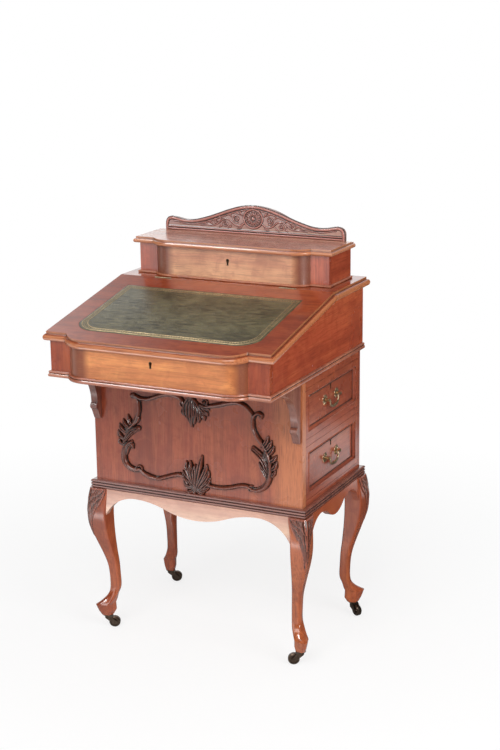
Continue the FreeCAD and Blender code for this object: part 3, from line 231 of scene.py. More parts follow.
def timber(name, tone, grain="Z", gloss=0.25, coat=0.4, figure=1.5,
           edge=None, ends=None, sun=None, ripple=0.0):
    """Polished wood: broad bands, a drawn-out figure, fine pores, and painted shade with dark wax in the
    creases.

    edge is a tone for the moulded edges, which every steep face takes as painted highlight and wear,
    ends the middle and the two half-widths between which the ends darken with painted shade, sun the
    two places across the desk between which the wood is bleached, and ripple how far the figure stands
    up in the polish."""
    kit = Shading(name)
    spots = kit.add("TexCoord").outputs
    place = spots["Object"]
    drawn = kit.add("Mapping", {"Vector": place, "Scale": ALONG[grain]}).outputs["Vector"]
    bands = kit.noise(drawn, 11.0, 3.0, 0.5, 0.6)
    rings = kit.noise(drawn, 46.0, 5.0, 0.6, 1.2)
    pores = kit.noise(drawn, 420.0, 3.0, 0.6)
    cloud = kit.noise(place, 7.0, 4.0, 0.55)
    fleck = kit.noise(place, 34.0, 6.0, 0.62, 0.8)
    deep, bright = shade(tone, 0.58, 1.12), (tone[0] * 1.26, tone[1] * 1.62, tone[2] * 1.5)
    wood = kit.ramp(bands, (0.30, deep), (0.50, tuple(tone)), (0.70, bright))
    wood = kit.mix(kit.range(rings, 0.36 * figure, 0.0, 0.34, 0.50), wood, shade(tone, 0.50, 1.1))
    wood = kit.mix(kit.range(rings, 0.0, 0.4 * figure, 0.52, 0.70), wood, bright)
    wood = kit.mix(kit.range(cloud, 0.55, 0.0, 0.30, 0.52), wood, deep)
    wood = kit.mix(kit.range(fleck, 0.35 * figure, 0.0, 0.34, 0.50), wood, deep)
    wood = kit.mix(kit.range(fleck, 0.0, 0.20 * figure, 0.52, 0.70), wood, bright)
    # Painted highlight and wear: every steep face, such as a lid's moulded edge, takes the lighter edge
    # tone.
    if edge:
        level = kit.math("ABSOLUTE", kit.split(spots["Normal"])["Z"])
        wood = kit.mix(kit.range(level, 0.9, 0.0, 0.60, 0.95), wood, edge)
    # Painted shade: the bow fronts darken towards their curved ends, standing in for the dark they reflect.
    if ends:
        middle, inner, outer = ends
        across = kit.math("ABSOLUTE", kit.math("SUBTRACT", kit.split(place)["X"], middle))
        wood = kit.mix(kit.range(across, 0.0, 0.92, inner, outer), wood, shade(tone, 0.17, 1.7))
    if sun:
        across = kit.math("ADD", kit.split(place)["X"], kit.range(bands, -0.02, 0.02))
        bleached = (tone[0] * 1.7, tone[1] * 2.9, tone[2] * 2.6)
        wood = kit.mix(kit.range(across, 0.0, 0.75, *sun), wood, bleached)
    wood = kit.mix(kit.range(pores, 0.32 * figure, 0.0, 0.36, 0.50), wood, shade(tone, 0.45))
    # Painted shade: the wood darkens in creases and recesses, standing in for their shadow as well as for
    # dark wax.
    wood = kit.mix(kit.range(kit.nook(0.008), 0.95, 0.0, 0.50, 0.95), wood, shade(tone, 0.08))
    kit.set(Base_Color=wood, Roughness=kit.range(cloud, gloss + 0.08, gloss - 0.05, 0.3, 0.7),
            Coat_Weight=coat, Coat_Roughness=0.08, IOR=1.5)
    height = kit.math("ADD", pores, kit.range(rings, 0.0, ripple))
    kit.bump(height, 0.0002, 0.25)
    return kit.material


def carved_timber(name, tone, gloss=0.3):
    """Stained carving: dark in its hollows as painted shade and stain, lighter on its crests as painted
    highlight and wear.
    """
    kit = Shading(name)
    place = kit.add("TexCoord").outputs["Object"]
    rise = kit.add("Attribute", attribute_name="rise").outputs["Fac"]
    patch = kit.noise(place, 60.0, 4.0, 0.6)
    grit = kit.noise(place, 900.0, 2.0, 0.5)
    # Painted light and wear: rise darkens the hollows as painted shade and lightens the crests as painted
    # highlight.
    painted_light_and_wear = kit.math("ADD", rise, kit.range(patch, -0.25, 0.2))
    hollow, body, crest = shade(tone, 0.14), shade(tone, 0.8), shade(tone, 1.7, 1.15)
    wood = kit.ramp(painted_light_and_wear, (0.15, hollow), (0.55, body), (1.0, crest))
    kit.set(Base_Color=wood, Roughness=kit.range(patch, gloss, gloss + 0.12, 0.3, 0.7),
            Specular_IOR_Level=0.2, Coat_Weight=1.0, Coat_Roughness=0.10)
    kit.bump(grit, 0.0002, 0.12)
    return kit.material


def hide(name, tone):
    """Old leather: fine pebbled grain, creases across the slope, rubbed and darkened patches."""
    kit = Shading(name)
    place = kit.add("TexCoord").outputs["Object"]
    pebble = kit.add("TexVoronoi", {"Vector": place, "Scale": 800.0}).outputs["Distance"]
    patch = kit.noise(place, 10.0, 6.0, 0.62, 0.4)
    drawn = kit.add("Mapping", {"Vector": place, "Scale": (0.16, 1.0, 1.0)}).outputs["Vector"]
    crease = kit.noise(drawn, 240.0, 3.0, 0.62, 0.5)
    base = kit.ramp(patch, (0.30, shade(tone, 0.55)), (0.52, tuple(tone)), (0.75, shade(tone, 1.7)))
    base = kit.mix(kit.range(crease, 0.9, 0.0, 0.36, 0.48), base, shade(tone, 0.25))
    base = kit.mix(kit.range(crease, 0.0, 0.5, 0.53, 0.66), base, shade(tone, 2.2))
    kit.set(Base_Color=base, Roughness=kit.range(crease, 0.36, 0.24, 0.35, 0.6), IOR=1.5)
    kit.bump(kit.math("ADD", pebble, crease), 0.0004, 0.5)
    return kit.material


def metal(name, tone, gloss=0.28, tarnish=0.5):
    """Old metal with tarnish in patches and a handled shine."""
    kit = Shading(name)
    place = kit.add("TexCoord").outputs["Object"]
    patch = kit.noise(place, 130.0, 5.0, 0.6, 0.5)
    fine = kit.noise(place, 900.0, 3.0, 0.5)
    base = kit.ramp(patch, (0.30, shade(tone, tarnish)), (0.62, tuple(tone)), (0.85, shade(tone, 1.2)))
    kit.set(Base_Color=base, Metallic=1.0,
            Roughness=kit.range(fine, gloss - 0.08, gloss + 0.12, 0.3, 0.7))
    kit.bump(fine, 0.0001, 0.3)
    return kit.material


def dress(material, *names):
    """Give CAD nodes a finish."""
    for name in names:
        slots = NODES[name].data.materials
        slots.clear()
        slots.append(material)


def smooth_line(points, count):
    """Points along a smooth curve through given ones, evenly spread in its parameter."""
    ends = [points[0] * 2 - points[1]] + list(points) + [points[-1] * 2 - points[-2]]
    spans = len(points) - 1
    line = []
    for number in range(count + 1):
        share = number / count * spans
        index = min(int(share), spans - 1)
        t = share - index
        a, b, c, d = ends[index:index + 4]
        line.append(0.5 * (2 * b + (c - a) * t + (2 * a - 5 * b + 4 * c - d) * t * t
                           + (3 * b - a - 3 * c + d) * t ** 3))
    return line


# Sections across a carved member: places from edge to edge, with heights.
ROLL = ((-1.0, 0.10), (-0.9, 0.45), (-0.7, 0.72), (-0.4, 0.93), (0.0, 1.0), (0.4, 0.93), (0.7, 0.72),
        (0.9, 0.45), (1.0, 0.10))
BAND = ((-1.0, 0.42), (-0.66, 0.46), (-0.56, 0.30), (-0.40, 0.72), (-0.1, 0.96), (0.2, 1.0), (0.6, 0.80),
        (0.85, 0.52), (1.0, 0.30))
LEAF = ((-1.0, 0.15), (-0.8, 0.58), (-0.45, 0.94), (-0.16, 0.80), (0.0, 0.48), (0.16, 0.80), (0.45, 0.94),
        (0.8, 0.58), (1.0, 0.15))
FLUTED = ((-1.0, 0.2), (-0.82, 0.70), (-0.62, 0.62), (-0.5, 0.34), (-0.38, 0.84), (-0.22, 0.90),
          (-0.12, 0.62), (0.0, 0.50), (0.12, 0.66), (0.24, 1.0), (0.40, 0.92), (0.5, 0.42),
          (0.64, 0.72), (0.84, 0.76), (1.0, 0.2))


class Relief:
    """Carving kept as heights over a fine grid, which is then laid on a surface.

    sink is how deep its edges go into the surface, skirt how far a thin, low ground runs round members,
    which the shading darkens into painted shade round them."""

    # How steeply carved edges rise.
    WALL = 2.6

    def __init__(self, low, high, step, sink=0.0012, skirt=0.0):
        self.sink, self.skirt = sink, skirt
        self.u = np.arange(low[0], high[0] + step, step)
        self.v = np.arange(low[1], high[1] + step, step)
        self.height = np.full((len(self.v), len(self.u)), -1.0)

    def window(self, low, high, reach):
        """The part of the grid round a box, with its places."""
        across = np.flatnonzero((self.u > low[0] - reach) & (self.u < high[0] + reach))
        along_it = np.flatnonzero((self.v > low[1] - reach) & (self.v < high[1] + reach))
        view = np.s_[along_it[0]:along_it[-1] + 1, across[0]:across[-1] + 1]
        return view, *np.meshgrid(self.u[across], self.v[along_it])

    def nearest(self, points, reach, count):
        """Distance from a smooth line, side of it, and share of the way along it, near that line."""
        curve = smooth_line([Vector(point) for point in points], count)
        line = np.array([tuple(spot) for spot in curve])
        view, across, up = self.window(line.min(0), line.max(0), reach)
        gap = np.full(across.shape, 1.0)
        share, side = np.zeros(across.shape), np.ones(across.shape)
        for index, (start, end) in enumerate(zip(line, line[1:])):
            run = end - start
            part = (across - start[0]) * run[0] + (up - start[1]) * run[1]
            part = np.clip(part / (run @ run + 1e-12), 0, 1)
            off = across - start[0] - part * run[0], up - start[1] - part * run[1]
            away = np.hypot(*off)
            near = away < gap
            gap = np.where(near, away, gap)
            share = np.where(near, (index + part) / count, share)
            side = np.where(near, np.sign(run[0] * off[1] - run[1] * off[0]), side)
        return view, gap, side, share

    def stroke(self, points, halves, heights, section=ROLL, base=0.0, count=28):
        """A member along a smooth line, with half-widths and heights that change along it."""
        view, gap, side, share = self.nearest(points, max(halves) + self.skirt + 0.003, count)
        half = np.interp(share, np.linspace(0, 1, len(halves)), halves)
        tall = np.interp(share, np.linspace(0, 1, len(heights)), heights)
        places, levels = zip(*section)
        crown = tall * np.interp(side * gap / half, places, levels)
        shape = base + np.minimum(crown, self.WALL * (half - gap))
        # The skirt is a low ground that shading() darkens, a painted shade round the members.
        if self.skirt:
            shape = np.maximum(shape, np.where(gap < half + self.skirt, self.sink / 4, -1.0))
        self.height[view] = np.maximum(self.height[view], shape)

    def dome(self, u, v, wide, high, tall):
        """A rounded boss."""
        view, across, up = self.window((u, v), (u, v), max(wide, high) + 0.003)
        gap = np.hypot((across - u) / wide, (up - v) / high)
        crown = tall * np.sqrt(np.clip(1 - gap * gap, 0.01, 1))
        shape = np.minimum(crown, self.WALL * (1 - gap) * min(wide, high))
        self.height[view] = np.maximum(self.height[view], shape)

    def volute(self, u, v, radius, turns, start, way, half, tall):
        """A scroll that winds in to a boss at its middle."""
        points = []
        steps = int(turns * 10)
        for number in range(steps + 1):
            share = number / steps
            reach = radius * (1 - 0.72 * share)
            angle = start + way * turns * 2 * math.pi * share
            points.append(polar(u, v, reach, angle))
        self.stroke(points, (half, half * 0.9, half * 0.6), (tall, tall, tall * 0.9), count=48)
        self.dome(u, v, half * 1.2, half * 1.2, tall * 1.15)

    def shading(self):
        """How far each place stands above the mean of its neighbours, for painted shade and stain in the
        hollows and painted highlight and wear on the crests.
        """
        level = np.clip(self.height, 0, None)
        mean = level
        for shift in (1, 2, 3):
            mean = (mean + np.roll(mean, shift, 0) + np.roll(mean, -shift, 0)
                    + np.roll(mean, shift, 1) + np.roll(mean, -shift, 1)) / 5
        return np.clip(0.5 + (level - mean) / (0.12 * max(level.max(), 1e-6)), 0, 1)

    def piece(self, surface, name, material, body, slot, *replaced):
        """Lay the carving on a surface as a closed piece that rides on a body."""
        solid = self.height > 0
        cells = solid[:-1, :-1] | solid[1:, :-1] | solid[:-1, 1:] | solid[1:, 1:]
        used = np.zeros(solid.shape, bool)
        for rows in (np.s_[:-1], np.s_[1:]):
            for columns in (np.s_[:-1], np.s_[1:]):
                used[rows, columns] |= cells
        number = np.full(solid.shape, -1)
        number[used] = np.arange(used.sum())
        total = int(used.sum())
        rows, columns = np.nonzero(used)
        outs = np.maximum(self.height[used], -self.sink)
        under = np.full(total, -self.sink * 1.5)
        spots = []
        for levels in (outs, under):
            spots += [surface(u, v, out) for u, v, out in zip(self.u[columns], self.v[rows], levels)]
        faces = []
        for row, column in zip(*np.nonzero(cells)):
            a, b = number[row, column], number[row, column + 1]
            c, d = number[row + 1, column + 1], number[row + 1, column]
            faces += [(a, b, c, d), (d + total, c + total, b + total, a + total)]
            edges = (((a, b), row - 1, column), ((b, c), row, column + 1),
                     ((c, d), row + 1, column), ((d, a), row, column - 1))
            for (start, end), beside, across in edges:
                inside = 0 <= beside < cells.shape[0] and 0 <= across < cells.shape[1]
                if not inside or not cells[beside, across]:
                    faces.append((end, start, start + total, end + total))
        data = bpy.data.meshes.new(name)
        data.from_pydata(spots, [], [tuple(int(spot) for spot in face) for face in faces])
        # rise carries the painted shade of the hollows and the painted highlight of the crests, with stain
        # and wear.
        rise = data.attributes.new("rise", "FLOAT", "POINT")
        tones = self.shading()[used]
        rise.data.foreach_set("value", np.concatenate((tones, tones * 0)).astype(np.float32))
        mesh = bmesh.new()
        mesh.from_mesh(data)
        bpy.data.meshes.remove(data)
        return settle(mesh, name, material, body, slot, *replaced)


def settle(mesh, name, material, body, slot, *replaced):
    """Turn a working mesh into a smooth piece of the desk."""
    bmesh.ops.recalc_face_normals(mesh, faces=mesh.faces)
    data = bpy.data.meshes.new(name)
    mesh.to_mesh(data)
    mesh.free()
    data.shade_smooth()
    data.materials.append(material)
    return mount(data, name, body, slot, *replaced)


def new_object(name, data):
    """A new object in the scene."""
    holder = bpy.data.objects.new(name, data)
    bpy.context.scene.collection.objects.link(holder)
    return holder


def mount(data, name, body, slot, *replaced):
    """Make a finished mesh a piece that rides on a body."""
    piece = new_object(name, data)
    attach(piece, body)
    if replaced:
        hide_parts(*replaced)
    return piece


def weave(mesh, first, second):
    """Faces between two closed rings of points."""
    for index in range(len(first)):
        following = (index + 1) % len(first)
        mesh.faces.new((first[index], first[following], second[following], second[index]))


def tube(mesh, path, radii, sides, closed=False):
    """A round bar along points, with a radius at each of them."""
    rings = []
    count = len(path)
    normal = Vector((0, 0, 1))
    for index, spot in enumerate(path):
        last = path[index - 1] if index or closed else path[0]
        following = path[(index + 1) % count] if index < count - 1 or closed else path[-1]
        ahead = (following - last).normalized()
        if index == 0:
            normal = ahead.orthogonal().normalized()
        normal = (normal - ahead * normal.dot(ahead)).normalized()
        side = ahead.cross(normal)
        ring = []
        for step in range(sides):
            turn = 2 * math.pi * step / sides
            out = normal * math.cos(turn) + side * math.sin(turn)
            ring.append(mesh.verts.new(spot + out * radii[index]))
        rings.append(ring)
    pairs = list(zip(rings, rings[1:]))
    if closed:
        pairs.append((rings[-1], rings[0]))
    for first, second in pairs:
        weave(mesh, first, second)
    if not closed:
        mesh.faces.new(list(reversed(rings[0])))
        mesh.faces.new(rings[-1])


def polar(u, v, reach, angle, wide=1.0):
    """A point at a reach and an angle from another, on a circle or on a wide oval."""
    return u + reach * wide * math.cos(angle), v + reach * math.sin(angle)


def mm(points, flip=1):
    """Points in millimetres as metres, mirrored where flip is -1."""
    return [(flip * u / 1000, v / 1000) for u, v in points]


# Where the front panel turns from red to bleached, across the desk.
SUNLIT = (0.185, 0.225)


class DESK_OT_timber(bpy.types.Operator):
    """Polish the boards of the stand, the case and the boxes"""
    bl_idname = "desk.timber"
    bl_label = "Timber"

    def execute(self, context):
        tones = finishes()
        dress(timber("Mahogany panel", tones.mahogany, sun=SUNLIT), "front_panel")
        dress(timber("Mahogany board", tones.mahogany), "back_panel", "left_panel")
        dress(timber("Mahogany drawer", tones.mahogany, "Y", 0.22),
              "upper_drawer_front", "lower_drawer_front", "sham_drawer_fronts", "drawer_rails")
        dress(timber("Mahogany side", tones.sides, "Y", 0.22), "box_sides", "upper_sides")
        dress(timber("Mahogany pilaster", tones.slope, "Z", 0.24), "box_pilasters")
        dress(timber("Mahogany upper pilaster", tones.sides, "Z", 0.24), "upper_pilasters", "upper_back")
        dress(timber("Mahogany moulding", tones.lines, "X", 0.24), "box_base_board", "upper_base_board")
        dress(timber("Mahogany base", tones.base, "X", 0.22, 0.9), "base_moulding")
        # The lids' moulded edges take a lighter tone, a painted highlight as well as wear.
        painted_light_and_wear = tuple(tones.painted_light_and_wear)
        dress(timber("Mahogany lid", tones.slope, "X", 0.20, 0.5, edge=painted_light_and_wear), "writing_lid", "flat_top")
        # The upper lid's pale top tone is a painted sheen.
        dress(timber("Mahogany upper lid", tones.top, "X", 0.18, 0.5, edge=painted_light_and_wear, ripple=70.0), "upper_lid")
        dress(timber("Gallery mahogany", tones.gallery, "X", 0.30, 0.8, 0.7), "gallery")
        # The upper front's pale tone is partly a painted sheen.
        for name, tone, middle in (("box_front", tones.faded, 0.018), ("upper_front", tones.pale, 0.010)):
            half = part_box(name)[1].x
            # The ends darken with painted shade between these two half-widths.
            ends = (middle, half - 0.048, half - 0.030)
            dress(timber(f"Faded {name}", tone, "X", 0.32, 0.2, 1.3, ends=ends), name)
        dress(timber("Leg mahogany", tones.legs, "Z", 0.16, 0.6),
              "leg_front_left", "leg_front_right", "leg_back_left", "leg_back_right")
        # The apron's pale tone stands in for its sheen, a painted reflection on the mahogany.
        dress(timber("Apron mahogany", tones.aprons, "X", 0.18, 0.8, 0.5), "front_apron")
        dress(timber("Side apron mahogany", tones.legs, "Y", 0.18, 0.8, 0.5), "side_aprons")
        dress(timber("Back apron mahogany", tones.legs, "X", 0.18, 0.8, 0.5), "back_apron")
        dress(timber("Bracket mahogany", tones.base, "Z", 0.24), "brackets")
        dress(timber("Plain oak", tones.oak, "X", 0.5, 0.0),
              "upper_drawer_box", "lower_drawer_box", "drawer_runners", "case_bottom",
              "stationery_dividers")
        dress(timber("Stained oak", tones.stained, "X", 0.32, 0.2), "box_back")
        return {"FINISHED"}


class DESK_OT_metalwork(bpy.types.Operator):
    """Age the brass of the handles, hinges and locks and the bronze of the casters"""
    bl_idname = "desk.metalwork"
    bl_label = "Metalwork"

    def execute(self, context):
        tones = finishes()
        dress(metal("Aged brass", tones.brass, 0.26, 0.45), "upper_handle_posts", "lower_handle_posts",
              "sham_handle_posts", "lid_locks", "upper_drawer_lock", "lower_drawer_lock")
        dress(metal("Dull brass", shade(tones.brass, 0.25), 0.38),
              "writing_lid_leaves", "upper_lid_leaves", "hinge_fixed_leaves", "hinge_pins")
        casters = [name for name in NODES if name.startswith("caster_")]
        dress(metal("Caster bronze", tones.bronze, 0.34), *casters)
        return {"FINISHED"}


# The front panel's plane and foot.
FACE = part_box("front_panel")[0].y
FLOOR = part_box("front_panel")[0].z

# Middle lines of the cartouche's bands, in millimetres from the middle of the desk and above
# the panel's foot, with half-widths along each.
BANDS = [
    ([(-164, 216), (-152, 215), (-139, 210), (-119, 211), (-98, 219), (-78, 226), (-58, 228),
      (-41, 225), (-31, 217), (-27, 208)], (4.0, 5.4, 5.0, 5.6, 6.2, 5.0)),
    ([(29, 209), (46, 213), (66, 218), (88, 225), (108, 228), (127, 223), (139, 213), (147, 203)],
     (5.0, 6.2, 5.8, 5.4, 4.6)),
    ([(-160, 213), (-151, 212), (-145, 204), (-143, 192), (-144, 179), (-149, 166), (-157, 151),
      (-170, 137)], (4.0, 5.4, 5.0, 5.4, 7.0, 5.0)),
    ([(-166, 104), (-180, 93), (-187, 74), (-186, 55), (-176, 42), (-160, 36), (-147, 38)],
     (4.0, 8.0, 8.6, 7.4, 6.0)),
    ([(147, 203), (146, 192), (148, 172), (156, 155), (167, 141), (179, 124)], (5.0, 5.6, 6.2, 6.6, 4.6)),
    ([(167, 141), (180, 122), (187, 100), (188, 76), (183, 55), (172, 39), (156, 30), (142, 29)],
     (3.0, 5.6, 6.6, 7.4, 6.4, 5.4)),
    ([(-145, 37), (-134, 29), (-116, 24), (-96, 23), (-72, 31), (-51, 38), (-37, 39), (-27, 32),
      (-22, 22)], (6.0, 6.4, 5.4, 5.6, 6.0, 5.0)),
    ([(29, 25), (48, 22), (71, 23), (93, 28), (113, 34), (130, 35), (142, 30)],
     (5.0, 5.6, 5.4, 5.4, 5.2)),
    ([(148, 196), (152, 205), (161, 210), (169, 206), (167, 199)], (4.4, 4.6, 4.6, 4.0, 3.4)),
]
# Leaves at the cartouche's sides: middle line, half-width, and the height of the bed.
LOBES = [
    ([(-160, 141), (-169, 152), (-174, 167)], 5.2, 1.0),
    ([(-168, 134), (-181, 144), (-187, 155)], 5.4, 0.6),
    ([(-176, 122), (-190, 131), (-197, 143)], 5.6, 0.4),
    ([(-182, 106), (-195, 114), (-202, 126)], 5.6, 0.2),
    ([(-158, 146), (-149, 158), (-144, 171)], 5.0, 1.5),
    ([(-184, 92), (-196, 98), (-200, 108)], 4.6, 0.0),
    ([(166, 132), (178, 144), (183, 158)], 5.4, 0.6),
    ([(174, 124), (186, 136), (191, 148)], 5.4, 1.0),
    ([(180, 114), (191, 125), (197, 136)], 5.6, 0.6),
    ([(185, 98), (196, 106), (203, 116)], 5.6, 0.4),
    ([(186, 80), (198, 88), (204, 101)], 5.6, 0.2),
    ([(184, 64), (195, 71), (201, 82)], 4.6, 0.0),
    ([(-180, 72), (-174, 90), (-165, 97), (-162, 88)], 4.6, 2.0),
    ([(182, 56), (173, 74), (160, 94)], 5.0, 0.5),
]
# Plumes of the upper and lower shell, in the same way.
PLUMES = [
    ([(-8, 230), (-21, 212), (-23, 192), (-17, 176)], 6.0, 1.0),
    ([(-8, 228), (-14, 205), (-13, 182), (-9, 166)], 5.6, 3.0),
    ([(-7, 228), (-6, 205), (-6, 182), (-7, 160)], 5.6, 4.2),
    ([(-6, 228), (3, 206), (3, 186), (-1, 168)], 5.6, 3.0),
    ([(-2, 224), (10, 206), (13, 186), (10, 172)], 5.6, 2.0),
    ([(4, 216), (18, 198), (24, 186), (25, 177)], 5.2, 1.0),
    ([(6, 214), (22, 202), (31, 194), (34, 189)], 5.0, 0.6),
    ([(8, 213), (24, 208), (33, 206), (37, 202)], 4.6, 0.3),
    ([(-16, 212), (-26, 202), (-30, 192), (-29, 184)], 4.8, 0.4),
    ([(-4, 6), (-16, 28), (-27, 40), (-33, 50)], 5.4, 0.6),
    ([(-4, 8), (-15, 40), (-22, 60), (-23, 73)], 6.2, 2.0),
    ([(-3, 8), (-8, 42), (-11, 62), (-13, 75)], 5.2, 3.0),
    ([(-2, 8), (-1, 38), (-1, 54), (-1, 67)], 5.4, 4.0),
    ([(-1, 8), (6, 44), (12, 70), (17, 91)], 6.4, 3.0),
    ([(0, 8), (16, 38), (26, 58), (28, 71)], 6.0, 2.0),
    ([(1, 8), (20, 30), (31, 46), (34, 57)], 5.6, 1.2),
    ([(2, 8), (21, 20), (32, 31), (36, 41)], 5.2, 0.6),
    ([(-2, 12), (-14, 14), (-24, 16), (-31, 21)], 5.0, 0.6),
    ([(-3, 12), (-10, 6), (-17, 3), (-22, 6)], 4.8, 1.2),
    ([(-3, 12), (-3, 6), (-3, 2), (-4, -1)], 5.0, 2.0),
    ([(-2, 12), (8, 6), (16, 4), (22, 7)], 4.8, 1.2),
    ([(0, 12), (14, 12), (26, 14), (34, 20)], 5.0, 0.6),
]
# The two fluted leaves that curl over at the sides: middle line, and half-widths along it.
CURLS = [
    ([(-187, 100), (-175, 119), (-160, 133), (-147, 138)], (4.0, 7.4, 8.6, 7.0)),
    ([(185, 62), (178, 86), (166, 110), (147, 126)], (4.0, 7.6, 8.8, 7.0)),
]
# Rounded beds under the leaves: middle, half-width and half-height.
BEDS = [(-7, 208, 16, 24), (4, 204, 20, 14), (-1, 26, 17, 24), (0, 14, 24, 10), (-172, 132, 12, 12),
        (178, 112, 11, 20)]
# Scrolls: middle, radius, angle of the start, and way of turning.
SCROLLS = [(-158, 213, 7, 0.4, 1), (-146, 40, 8, 2.4, -1), (166, 202, 5, 2.6, -1), (140, 30, 8, 1.2, 1),
           (25, 220, 10, 4.2, 1), (-29, 211, 8, 5.2, -1), (30, 27, 7, 1.8, -1), (-25, 25, 7, 1.4, 1)]
# Units in a metre for the half-widths of bands and leaves, which are cut a little full.
BAND_UNITS = 900
LEAF_UNITS = 850


class DESK_OT_cartouche(bpy.types.Operator):
    """Carve the frame of scrolls, leaves and plumes on the front panel"""
    bl_idname = "desk.cartouche"
    bl_label = "Cartouche"

    def execute(self, context):
        band, leaf = carving().band, carving().leaf
        relief = Relief((-0.212, -0.006), (0.212, 0.240), step=0.0008)
        for points, halves in BANDS:
            relief.stroke(mm(points), [half / BAND_UNITS for half in halves],
                          (band * 0.8, band, band, band * 0.85), BAND, count=60)
        for u, v, wide, high in BEDS:
            relief.dome(u / 1000, v / 1000, wide / 1000, high / 1000, leaf * 0.62)
        for points, half, bed in LOBES + PLUMES:
            half = half / LEAF_UNITS
            relief.stroke(mm(points), (half * 0.55, half, half * 1.05, half * 0.40),
                          (leaf * 0.55, leaf * 0.85, leaf, leaf * 0.6), LEAF, bed / 1000)
        for points, halves in CURLS:
            relief.stroke(mm(points), [half / 1000 for half in halves],
                          (leaf * 0.6, leaf * 0.9, leaf * 1.3, leaf * 1.35), FLUTED, 0.001)
        for u, v, radius, start, way in SCROLLS:
            relief.volute(u / 1000, v / 1000, radius / 1000, 1.2, start, way, 0.003, leaf * 1.1)
        wood = carved_timber("Dark carving", finishes().carving, 0.2)
        relief.piece(lambda u, v, out: (u, FACE - out, FLOOR + v), "cartouche_carving", wood, FRAME,
                     "carved_mahogany", "carved_cartouche")
        return {"FINISHED"}


# Axes of the legs' posts, across the desk and along it.
LEG_ACROSS = {"left": -0.255, "right": 0.255}
LEG_ALONG = {"front": -0.06613, "back": 0.24887}


class LegSurface:
    """The outer faces of one cabriole leg: places along its outline from the arris, and up it."""

    # Heights of the leg's top, of the fullest part of its knee, and of its ankle, and the sections
    # there: middle, half depth, half width and corner radius.
    TOP, KNEE, ANKLE = 0.326, 0.259, 0.089
    AT_TOP = (-0.0035, 0.0295, 0.0295, 0.005)
    AT_KNEE = (0.00725, 0.03025, 0.0275, 0.005)
    AT_ANKLE = (-0.022, 0.0135, 0.013, 0.008)

    def __init__(self, end, side):
        self.axis = Vector((LEG_ACROSS[side], LEG_ALONG[end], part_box("leg_front_left")[0].z))
        self.turn = (1 if side == "right" else -1, 1 if end == "back" else -1)

    def section(self, height):
        """Middle, half depth, half width and corner radius at a height."""
        if height >= self.KNEE:
            swell = math.sin(min(1.0, (self.TOP - height) / (self.TOP - self.KNEE)) * math.pi / 2)
            shares, start, end = (swell,) * 4, self.AT_TOP, self.AT_KNEE
        else:
            fall = (1 - math.cos((self.KNEE - height) / (self.KNEE - self.ANKLE) * math.pi)) / 2
            slim = 1 - (1 - fall) ** 1.3
            shares, start, end = (fall, slim, slim, fall), self.AT_KNEE, self.AT_ANKLE
        return [first + (last - first) * share for first, last, share in zip(start, end, shares)]

    def __call__(self, across, height, out):
        middle, depth, half, radius = self.section(height)
        depth, half = depth - radius, half - radius
        side = math.hypot(depth, half)
        lean = math.atan2(depth, half)
        run = abs(across)
        if run < radius * lean:
            angle, slide = run / radius, 0.0
        else:
            angle, slide = lean, min(run - radius * lean, side) / side
        ahead = middle + depth * (1 - slide) + (radius + out) * math.cos(angle)
        aside = math.copysign(half * slide + (radius + out) * math.sin(angle), across)
        diagonal = math.sqrt(0.5)
        return self.axis + Vector((self.turn[0] * diagonal * (ahead - aside),
                                   self.turn[1] * diagonal * (ahead + aside), height))


class DESK_OT_knees(bpy.types.Operator):
    """Carve hanging leaves on the knees of the legs"""
    bl_idname = "desk.knees"
    bl_label = "Knee carving"

    # Tiers of leaves: number on each side of the arris, reach, longest and shortest leaf, half-width,
    # then height and bed as shares of the relief.
    TIERS = [(9, 0.036, 0.128, 0.052, 0.0042, 1.0, 0.0), (7, 0.034, 0.078, 0.034, 0.0040, 0.8, 0.55),
             (6, 0.030, 0.040, 0.022, 0.0040, 0.7, 1.0)]

    def execute(self, context):
        relief = Relief((-0.042, 0.185), (0.042, LegSurface.TOP - 0.0006), step=0.0008, sink=0.0014)
        for tier in self.TIERS:
            self.fringe(relief, *tier)
        material = carved_timber("Knee carving", shade(finishes().carving, 1.9), 0.2)
        for end in LEG_ALONG:
            for side in LEG_ACROSS:
                relief.piece(LegSurface(end, side), f"knee_carving_{end}_{side}", material, FRAME,
                             "carved_mahogany")
        return {"FINISHED"}

    def fringe(self, relief, count, reach, longest, shortest, half, height, bed):
        """A tier of pointed leaves, longest on the arris."""
        tall, base = carving().knee * height, carving().knee * bed
        top = LegSurface.TOP + 0.004
        for number in range(-count, count + 1):
            share = abs(number) / count
            root = reach * number / count
            drop = shortest + (longest - shortest) * (1 - share) ** 1.5
            # Small differences from leaf to leaf, as a hand leaves them.
            drop *= 1 + 0.07 * math.sin(number * 2.3)
            sway = 0.0018 * math.sin(number * 1.9)
            points = [(root, top), (root * 0.96 + sway, top - drop * 0.4),
                      (root * 0.80 + sway, top - drop * 0.72), (root * 0.56, top - drop)]
            relief.stroke(points, (half, half, half * 0.75, half * 0.12),
                          (tall, tall, tall * 0.9, tall * 0.4), LEAF, base, count=20)


